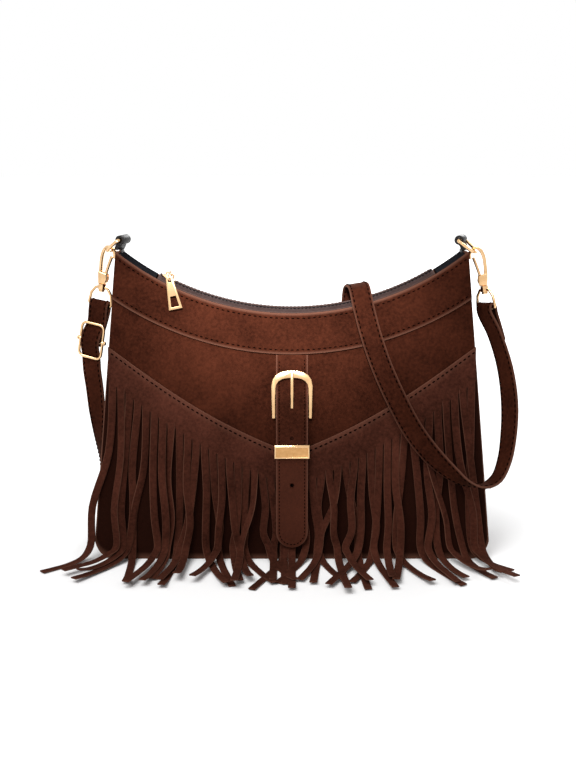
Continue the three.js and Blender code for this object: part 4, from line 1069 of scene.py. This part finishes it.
@dataclass
class Zip:
    """The zip's facings, tapes and interlocked coil along the mouth."""

    start: float = -27.0
    close: float = 31.0
    facing_start: float = -29.0
    facing_edge: float = 5.2 * MM
    facing_lift: float = 1.6 * MM
    facing_sink: float = 1.0 * MM
    facing_thick: float = 1.2 * MM
    tape_thick: float = 0.6 * MM
    tape_edge: float = 9.6 * MM
    tooth_pitch: float = 0.55
    slider_room: float = 1.4
    end_lift: float = 2 * MM

    def facing_height(self, y: float) -> float:
        """Height of the facing's underside over the mouth's arc."""
        t = clamp((FORM.zip_edge - y) / (FORM.zip_edge - self.facing_edge), 0, 1)
        return lerp(-self.facing_sink, self.facing_lift, math.sin(t * math.pi / 2))

    def build(self) -> None:
        """Makes both sides of the zip and its black ends."""
        row = StitchRow(2.0 * MM, 2.9 * MM, 0.25 * MM)
        for side, word in ((Side.FRONT, "front"), (Side.BACK, "back")):
            self.facing(side, word)
            self.row(side, word)
            angles = [lerp(self.facing_start + 0.4, self.close - 0.4, t / 80) for t in range(81)]
            y = self.facing_edge + 1.3 * MM
            height = self.facing_height(y) + self.facing_thick + 0.1 * MM
            row.build(f"{word}_zip_stitching", [[FORM.on_zip(a, side.value * y, height) for a in angles]])
        reach = FORM.top_width / 2 - FORM.panel - 2 * FORM.clear
        corner = math.degrees(math.asin(reach / FORM.mouth_radius))
        self.end("left", -corner, self.facing_start - 0.3)
        self.end("right", self.close + 0.3, corner)

    def facing(self, side: Side, word: str) -> None:
        """One brown facing strip, rolled over at the zip."""

        def place(u: float, v: float) -> Vector:
            angle = lerp(self.facing_start, self.close, (u * -side.value + 1) / 2)
            y = lerp(FORM.zip_edge, self.facing_edge, (v + 1) / 2)
            return FORM.on_zip(angle, side.value * y, self.facing_height(y) + self.facing_thick)

        piece = grid_piece(f"{word}_facing_strip", 64, 8, place, self.facing_thick, wear_and_highlight=1.0)
        dress(piece, FACING, Slot.FACING)
        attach(piece, BODY)
        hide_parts(f"{word}_zip_facing")
        LOG.info("%s", piece.name)

    def row(self, side: Side, word: str) -> None:
        """One tape with its half of the coil, each turn modelled once and copied."""
        points, faces = self.turn()
        all_points: list[Vector] = []
        all_faces: list[list[int]] = []
        count = int((self.close - self.start - self.slider_room) / self.tooth_pitch)
        for i in range(count):
            angle = self.start + self.slider_room + (i + 0.5 + 0.25 * side.value) * self.tooth_pitch
            start = len(all_points)
            all_points += [FORM.on_zip(angle + p.x, side.value * p.y, p.z) for p in points]
            all_faces += [[start + k for k in face] for face in faces]
        coil = mesh_piece(f"{word}_zip_coil", all_points, all_faces)
        recalculate(coil)
        smooth_by_angle(coil, 60)
        dress(coil, BLACK_TAPE, Slot.BLACK_TAPE)
        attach(coil, BODY)

        def place(u: float, v: float) -> Vector:
            angle = lerp(self.start - 0.4, self.close, (u * -side.value + 1) / 2)
            y = lerp(self.tape_edge, 1.4 * MM, (v + 1) / 2)
            height = self.facing_height(max(y, self.facing_edge)) - FORM.clear
            return FORM.on_zip(angle, side.value * y, height)

        tape = grid_piece(f"{word}_zip_tape", 64, 6, place, self.tape_thick)
        dress(tape, BLACK_TAPE, Slot.BLACK_TAPE)
        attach(tape, BODY)
        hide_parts(f"{word}_zip_row")
        LOG.info("%s of %d turns", tape.name, count)

    def turn(self) -> tuple[list[Vector], list[list[int]]]:
        """One turn of the coil: x in degrees along the mouth, y across and z its height."""
        deselect()
        bpy.ops.mesh.primitive_torus_add(
            major_segments=8, minor_segments=5, major_radius=1, minor_radius=0.34
        )
        ring = bpy.context.object
        middle = self.facing_lift - FORM.clear
        points = [
            Vector((p.co.z * 0.42, 1.25 * MM + p.co.x * 0.85 * MM, middle + p.co.y * 0.8 * MM))
            for p in ring.data.vertices
        ]
        faces = [list(face.vertices) for face in ring.data.polygons]
        mesh = ring.data
        bpy.data.objects.remove(ring)
        bpy.data.meshes.remove(mesh)
        return points, faces

    def end(self, word: str, low: float, high: float) -> None:
        """One black end of the zip, arched between the panels."""

        def place(u: float, v: float) -> Vector:
            y = -v * FORM.zip_edge
            lift = self.end_lift * math.cos(y / FORM.zip_edge * math.pi / 2)
            return FORM.on_zip(lerp(low, high, (u + 1) / 2), -y, lift)

        piece = grid_piece(f"{word}_zip_end_tape", 16, 14, place, self.facing_thick)
        dress(piece, BLACK_TAPE, Slot.BLACK_TAPE)
        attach(piece, BODY)
        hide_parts(f"{word}_zip_end")
        LOG.info("%s", piece.name)


@dataclass
class Tongue:
    """The tab's tongue: out of the yoke, over the buckle's bar, through the keeper and over the fringe."""

    width: float = 24 * MM
    thick: float = 1.4 * MM
    tip: float = 11 * MM
    bar_height: float = 110.3 * MM
    keeper_low: float = 79.8 * MM
    keeper_high: float = 88.8 * MM
    on_band: float = 2.0 * MM
    in_keeper: float = 5.5 * MM
    over_bar: float = 7.0 * MM
    hole: float = 3 * MM
    holes: tuple[float, ...] = (94.6 * MM, 58.9 * MM)
    slot_width: float = 2.8 * MM
    slot_height: float = 13 * MM
    seam_inset: float = 2.4 * MM
    # Height below which the tongue is painted lighter: painted light.
    painted_light_top: float = 105 * MM

    @property
    def top(self) -> float:
        """Height of the tongue's upper end, under the yoke."""
        return FORM.mouth_centre - FORM.mouth_radius - FORM.yoke_width - FORM.clear

    def course(self) -> list[tuple[float, float]]:
        """Heights, and the tongue's distance from the wall at each."""
        bar, low = self.bar_height, self.on_band + 2.88 * MM
        return [
            (self.top, FORM.clear),
            (self.top - 8 * MM, FORM.clear),
            (bar + 26 * MM, FORM.clear + 0.2 * MM),
            (bar + 20.5 * MM, FORM.clear + 0.6 * MM),
            (bar + 13 * MM, self.over_bar - 0.6 * MM),
            (bar + 6 * MM, self.over_bar),
            (bar - 3 * MM, self.over_bar),
            (bar - 11 * MM, self.in_keeper + 0.5 * MM),
            (self.keeper_high + 2 * MM, self.in_keeper),
            (self.keeper_low - 2 * MM, self.in_keeper),
            (self.keeper_low - 16 * MM, low),
            (self.tip, low),
        ]

    def set_out(self, z: float) -> float:
        """The tongue's distance from the wall at a height."""
        course = self.course()
        for (high, a), (low, b) in zip(course, course[1:]):
            if z >= low - 1e-6:
                return lerp(b, a, smoothstep(z, low, high))
        return course[-1][1]

    def half_at(self, z: float, inset: float = 0.0) -> float:
        """Half the tongue's width at a height, or that of a line set in from its edge."""
        half = self.width / 2
        above = self.tip + half
        if z >= above:
            return half - inset
        return math.sqrt(max((half - inset) ** 2 - (above - z) ** 2, 0.0))

    def build(self) -> None:
        """Makes the tongue, punches its holes and slot and sews its edge."""

        def place(u: float, v: float) -> Vector:
            z = lerp(self.tip + 0.02 * MM, self.top, ((v + 1) / 2) ** 1.6)
            return FORM.on_wall(u * self.half_at(z), z, self.set_out(z) + self.thick)

        piece = grid_piece("tongue_suede", 16, 70, place, self.thick, wear_and_highlight=0.8)
        marks = piece.data.attributes["edge"].data
        for vertex in piece.data.vertices:
            if vertex.co.z > self.top - 4 * MM and abs(vertex.co.x) < self.width / 2 - 1 * MM:
                marks[vertex.index].value = 0.0
        # Painted light: lighter from below the buckle down towards the tip.
        painted_tip_light = [0.42 * smoothstep(self.painted_light_top - p.co.z, 0.0, 40 * MM) for p in piece.data.vertices]
        mark_edge(piece, painted_tip_light, "under")
        self.punch(piece)
        smooth_by_angle(piece, 50)
        dress(piece, TONGUE_SUEDE, Slot.SUEDE)
        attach(piece, BODY)
        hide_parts("buckle_tongue")
        self.stitches()
        LOG.info("%s with %d holes", piece.name, len(self.holes))

    def punch(self, piece: bpy.types.Object) -> None:
        """Cuts the round holes and the prong's slot."""
        cutters = []
        for z in self.holes:
            deselect()
            bpy.ops.mesh.primitive_cylinder_add(
                vertices=24,
                radius=self.hole / 2,
                depth=0.06,
                location=(0, -FORM.base_depth / 2, z),
                rotation=(math.pi / 2, 0, 0),
            )
            cutters.append(bpy.context.object)
        deselect()
        at_slot = (0, -FORM.base_depth / 2, self.bar_height + 13.2 * MM)
        bpy.ops.mesh.primitive_cube_add(size=1, location=at_slot)
        bpy.context.object.scale = (self.slot_width, 0.06, self.slot_height)
        cutters.append(bpy.context.object)
        bpy.context.view_layer.update()
        for cutter in cutters:
            apply_modifier(piece, "BOOLEAN", object=cutter, operation="DIFFERENCE", solver="EXACT")
            mesh = cutter.data
            bpy.data.objects.remove(cutter)
            bpy.data.meshes.remove(mesh)

    def stitches(self) -> None:
        """Sews round the tongue's edge, down one side, round the tip and up the other."""
        half = self.width / 2 - self.seam_inset
        above = self.tip + self.width / 2
        right = [(half, lerp(self.top - 3 * MM, above, t / 80)) for t in range(81)]
        turns = [i * math.pi / 24 for i in range(1, 24)]
        round_tip = [(half * math.cos(a), above - half * math.sin(a)) for a in turns]
        left = [(-x, z) for x, z in reversed(right)]
        out = self.thick + 0.1 * MM
        line = [FORM.on_wall(x, z, self.set_out(z) + out) for x, z in [*right, *round_tip, *left]]
        StitchRow(1.7 * MM, 2.7 * MM, 0.36 * MM).build("tongue_stitching", [line])


@dataclass
class KeeperPlate:
    """The keeper's framed front: a raised rim round a sunk face in the brushed_gold finish."""

    width: float = 26.2 * MM
    height: float = 9 * MM
    low: float = 79.8 * MM
    thick: float = 0.6 * MM
    rim: float = 0.9 * MM
    sink: float = 0.4 * MM
    out: float = 8.1 * MM

    def build(self) -> None:
        """Makes the plate from a block whose front is inset and pushed in."""
        high = self.low + self.height
        lean = math.atan2(FORM.wall_depth(0, self.low) - FORM.wall_depth(0, high), self.height)
        middle = FORM.on_wall(0, self.low + self.height / 2, self.out + self.thick / 2)
        deselect()
        bpy.ops.mesh.primitive_cube_add(size=1, location=middle, rotation=(-lean, 0, 0))
        piece = bpy.context.object
        piece.name = "keeper_plate"
        piece.scale = (self.width, self.thick, self.height)
        activate(piece)
        bpy.ops.object.transform_apply(location=True, rotation=True, scale=True)
        front = min(range(len(piece.data.polygons)), key=lambda i: piece.data.polygons[i].normal.y)
        bpy.context.tool_settings.mesh_select_mode = (False, False, True)
        for kind in (piece.data.vertices, piece.data.edges, piece.data.polygons):
            kind.foreach_set("select", [False] * len(kind))
        piece.data.polygons[front].select = True
        for corner in piece.data.polygons[front].vertices:
            piece.data.vertices[corner].select = True
        bpy.ops.object.mode_set(mode="EDIT")
        bpy.ops.mesh.inset(thickness=self.rim, depth=0.0)
        bpy.ops.mesh.inset(thickness=0.1 * MM, depth=-self.sink)
        bpy.ops.object.mode_set(mode="OBJECT")
        dress(piece, GOLD, Slot.PALE_GOLD)
        piece.data.materials.append(BRUSHED_GOLD.make())
        for polygon in piece.data.polygons:
            polygon.material_index = 1 if polygon.select else 0
        apply_modifier(piece, "BEVEL", width=0.15 * MM, segments=2, limit_method="ANGLE", angle_limit=0.6)
        smooth_by_angle(piece, 30)
        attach(piece, BODY)
        LOG.info("%s", piece.name)


@dataclass
class TabRoots:
    """The leather of each corner tab below its loop, sewn in between the panels."""

    width: float = 12 * MM
    thick: float = 2.4 * MM
    depth: float = 12 * MM
    rise: float = 0.4 * MM
    set_in: float = 2.0 * MM

    def build(self) -> None:
        """Makes the left and the right root."""
        for sign, word in ((-1, "left"), (1, "right")):

            def place(u: float, v: float, sign: int = sign) -> Vector:
                z = FORM.corner_height + self.rise - self.depth * (1 - v) / 2
                x = FORM.top_width / 2 - self.set_in - 0.3 * MM * (1 - u**2)
                return Vector((sign * x, sign * u * self.width / 2, z))

            piece = grid_piece(f"{word}_tab_root", 8, 8, place, self.thick)
            dress(piece, BLACK_LEATHER, Slot.BLACK_LEATHER)
            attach(piece, BODY)
            LOG.info("%s", piece.name)


@dataclass
class Fittings:
    """The metal and leather fittings, which keep their solids' shapes."""

    gold: tuple[str, ...] = (
        "zip_slider",
        "zip_link",
        "zip_pull",
        "buckle_frame",
        "buckle_prong",
        "buckle_keeper",
        "left_d_ring",
        "right_d_ring",
        "left_hook",
        "right_hook",
        "left_gate",
        "right_gate",
        "left_eye",
        "right_eye",
        "strap_adjuster_frame",
        "strap_adjuster_bar",
    )
    black: tuple[str, ...] = ("left_tab_loop", "right_tab_loop")
    brown: tuple[str, ...] = ("buckle_chape",)

    def dress(self, nodes: dict[str, bpy.types.Object]) -> None:
        """Gives each fitting its finish and soft edges.

        Args:
            nodes: the frame's solids by name.
        """
        groups = (
            (self.gold, GOLD, Slot.PALE_GOLD),
            (self.black, BLACK_LEATHER, Slot.BLACK_LEATHER),
            (self.brown, PAINTED_LIGHT_SUEDE, Slot.SUEDE),
        )
        for names, finish, slot in groups:
            for name in names:
                piece = nodes[name]
                weld = piece.modifiers.new("weld", "WELD")
                weld.merge_threshold = 0.00001
                soften = piece.modifiers.new("soften", "BEVEL")
                soften.width = 0.00025
                soften.segments = 2
                soften.limit_method = "ANGLE"
                soften.angle_limit = math.radians(40)
                smooth_by_angle(piece, 40)
                dress(piece, finish, slot)
                LOG.info("%s dressed as %s", name, finish.name)


@dataclass
class Studio:
    """The camera, floor and soft lights."""

    distance: float = 0.98
    height: float = 0.335
    aim: tuple[float, float, float] = (-0.003, -0.03, 0.135)
    lens: float = 60.4
    floor_size: float = 12.0
    pool_place: tuple[float, float, float] = (-0.035, -0.75, 0.60)
    pool_aim: tuple[float, float, float] = (-0.012, -0.02, 0.203)
    pool_power: float = 98
    pool_spread: float = 12.6
    pool_stretch: float = 1.65

    def build(self) -> None:
        """Makes the stage and sets the camera and view."""
        scene = bpy.context.scene
        scene.view_settings.view_transform = "Standard"
        self.camera(scene)
        self.floor()
        self.world(scene)
        self.sun((-0.5, -0.9, 1.7), 2.2)
        self.light("front", (-0.8, -2.0, 1.4), 0.7, 9)
        self.light("back", (0.7, 1.9, 1.3), 1.2, 34)
        self.pool()

    def camera(self, scene: bpy.types.Scene) -> None:
        """The camera where the photograph was taken from."""
        data = bpy.data.cameras.new("camera")
        data.lens = self.lens
        data.sensor_width = 36
        data.clip_start = 0.01
        eye = bpy.data.objects.new("camera", data)
        scene.collection.objects.link(eye)
        eye.location = (self.aim[0], -self.distance, self.height)
        eye.rotation_euler = (Vector(self.aim) - eye.location).to_track_quat("-Z", "Y").to_euler()
        scene.camera = eye

    def floor(self) -> None:
        """A plain pale floor."""
        deselect()
        bpy.ops.mesh.primitive_plane_add(size=self.floor_size)
        floor = bpy.context.object
        floor.name = "floor"
        material = bpy.data.materials.new("pale_floor")
        material.use_nodes = True
        shader = material.node_tree.nodes["Principled BSDF"]
        shader.inputs["Base Color"].default_value = (0.93, 0.93, 0.93, 1)
        shader.inputs["Roughness"].default_value = 0.9
        shader.inputs["Specular IOR Level"].default_value = 0.0
        floor.data.materials.append(material)

    def world(self, scene: bpy.types.Scene) -> None:
        """White where the camera or a reflection sees it, and a plain level of light elsewhere."""
        world = bpy.data.worlds.new("studio")
        scene.world = world
        world.use_nodes = True
        tree = world.node_tree
        back = tree.nodes["Background"]
        back.inputs["Color"].default_value = (1, 1, 1, 1)
        path = tree.nodes.new("ShaderNodeLightPath")
        seen = tree.nodes.new("ShaderNodeMath")
        seen.operation = "MAXIMUM"
        tree.links.new(path.outputs["Is Camera Ray"], seen.inputs[0])
        tree.links.new(path.outputs["Is Transmission Ray"], seen.inputs[1])
        glossy = tree.nodes.new("ShaderNodeMath")
        glossy.operation = "MAXIMUM"
        tree.links.new(seen.outputs[0], glossy.inputs[0])
        tree.links.new(path.outputs["Is Glossy Ray"], glossy.inputs[1])
        level = tree.nodes.new("ShaderNodeMapRange")
        level.inputs["To Min"].default_value = 0.5
        level.inputs["To Max"].default_value = 1.0
        tree.links.new(glossy.outputs[0], level.inputs["Value"])
        tree.links.new(level.outputs["Result"], back.inputs["Strength"])

    def sun(self, place: tuple[float, float, float], strength: float) -> None:
        """A wide, soft sun that lights the whole floor evenly."""
        data = bpy.data.lights.new("sun", "SUN")
        data.energy = strength
        data.angle = math.radians(40)
        lamp = bpy.data.objects.new("sun", data)
        bpy.context.scene.collection.objects.link(lamp)
        lamp.location = place
        lamp.rotation_euler = (Vector(self.aim) - lamp.location).to_track_quat("-Z", "Y").to_euler()

    def pool(self) -> None:
        """A soft pool of light on the mouth, which fades towards the base and the sides."""
        data = bpy.data.lights.new("pool", "SPOT")
        data.energy = self.pool_power
        data.spot_size = math.radians(self.pool_spread)
        data.spot_blend = 1.0
        data.shadow_soft_size = 0.035
        lamp = bpy.data.objects.new("pool", data)
        bpy.context.scene.collection.objects.link(lamp)
        lamp.location = self.pool_place
        lamp.scale = (self.pool_stretch, 1.0, 1.0)
        lamp.rotation_euler = (Vector(self.pool_aim) - lamp.location).to_track_quat("-Z", "Y").to_euler()

    def light(self, name: str, place: tuple[float, float, float], size: float, power: float) -> None:
        """One soft square light aimed at the bag."""
        data = bpy.data.lights.new(name, "AREA")
        data.size = size
        data.energy = power
        lamp = bpy.data.objects.new(name, data)
        bpy.context.scene.collection.objects.link(lamp)
        lamp.location = place
        lamp.rotation_euler = (Vector(self.aim) - lamp.location).to_track_quat("-Z", "Y").to_euler()


def main() -> None:
    """Builds and dresses the bag, sub-assembly by sub-assembly."""
    logging.basicConfig(level=logging.INFO, format="%(message)s")
    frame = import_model()
    Studio().build()
    Strap().build()
    Fittings().dress(frame["nodes"])
    Shell().build()
    Fringe().build()
    Tongue().build()
    Zip().build()
    TabRoots().build()
    KeeperPlate().build()


if __name__ == "__main__":
    main()
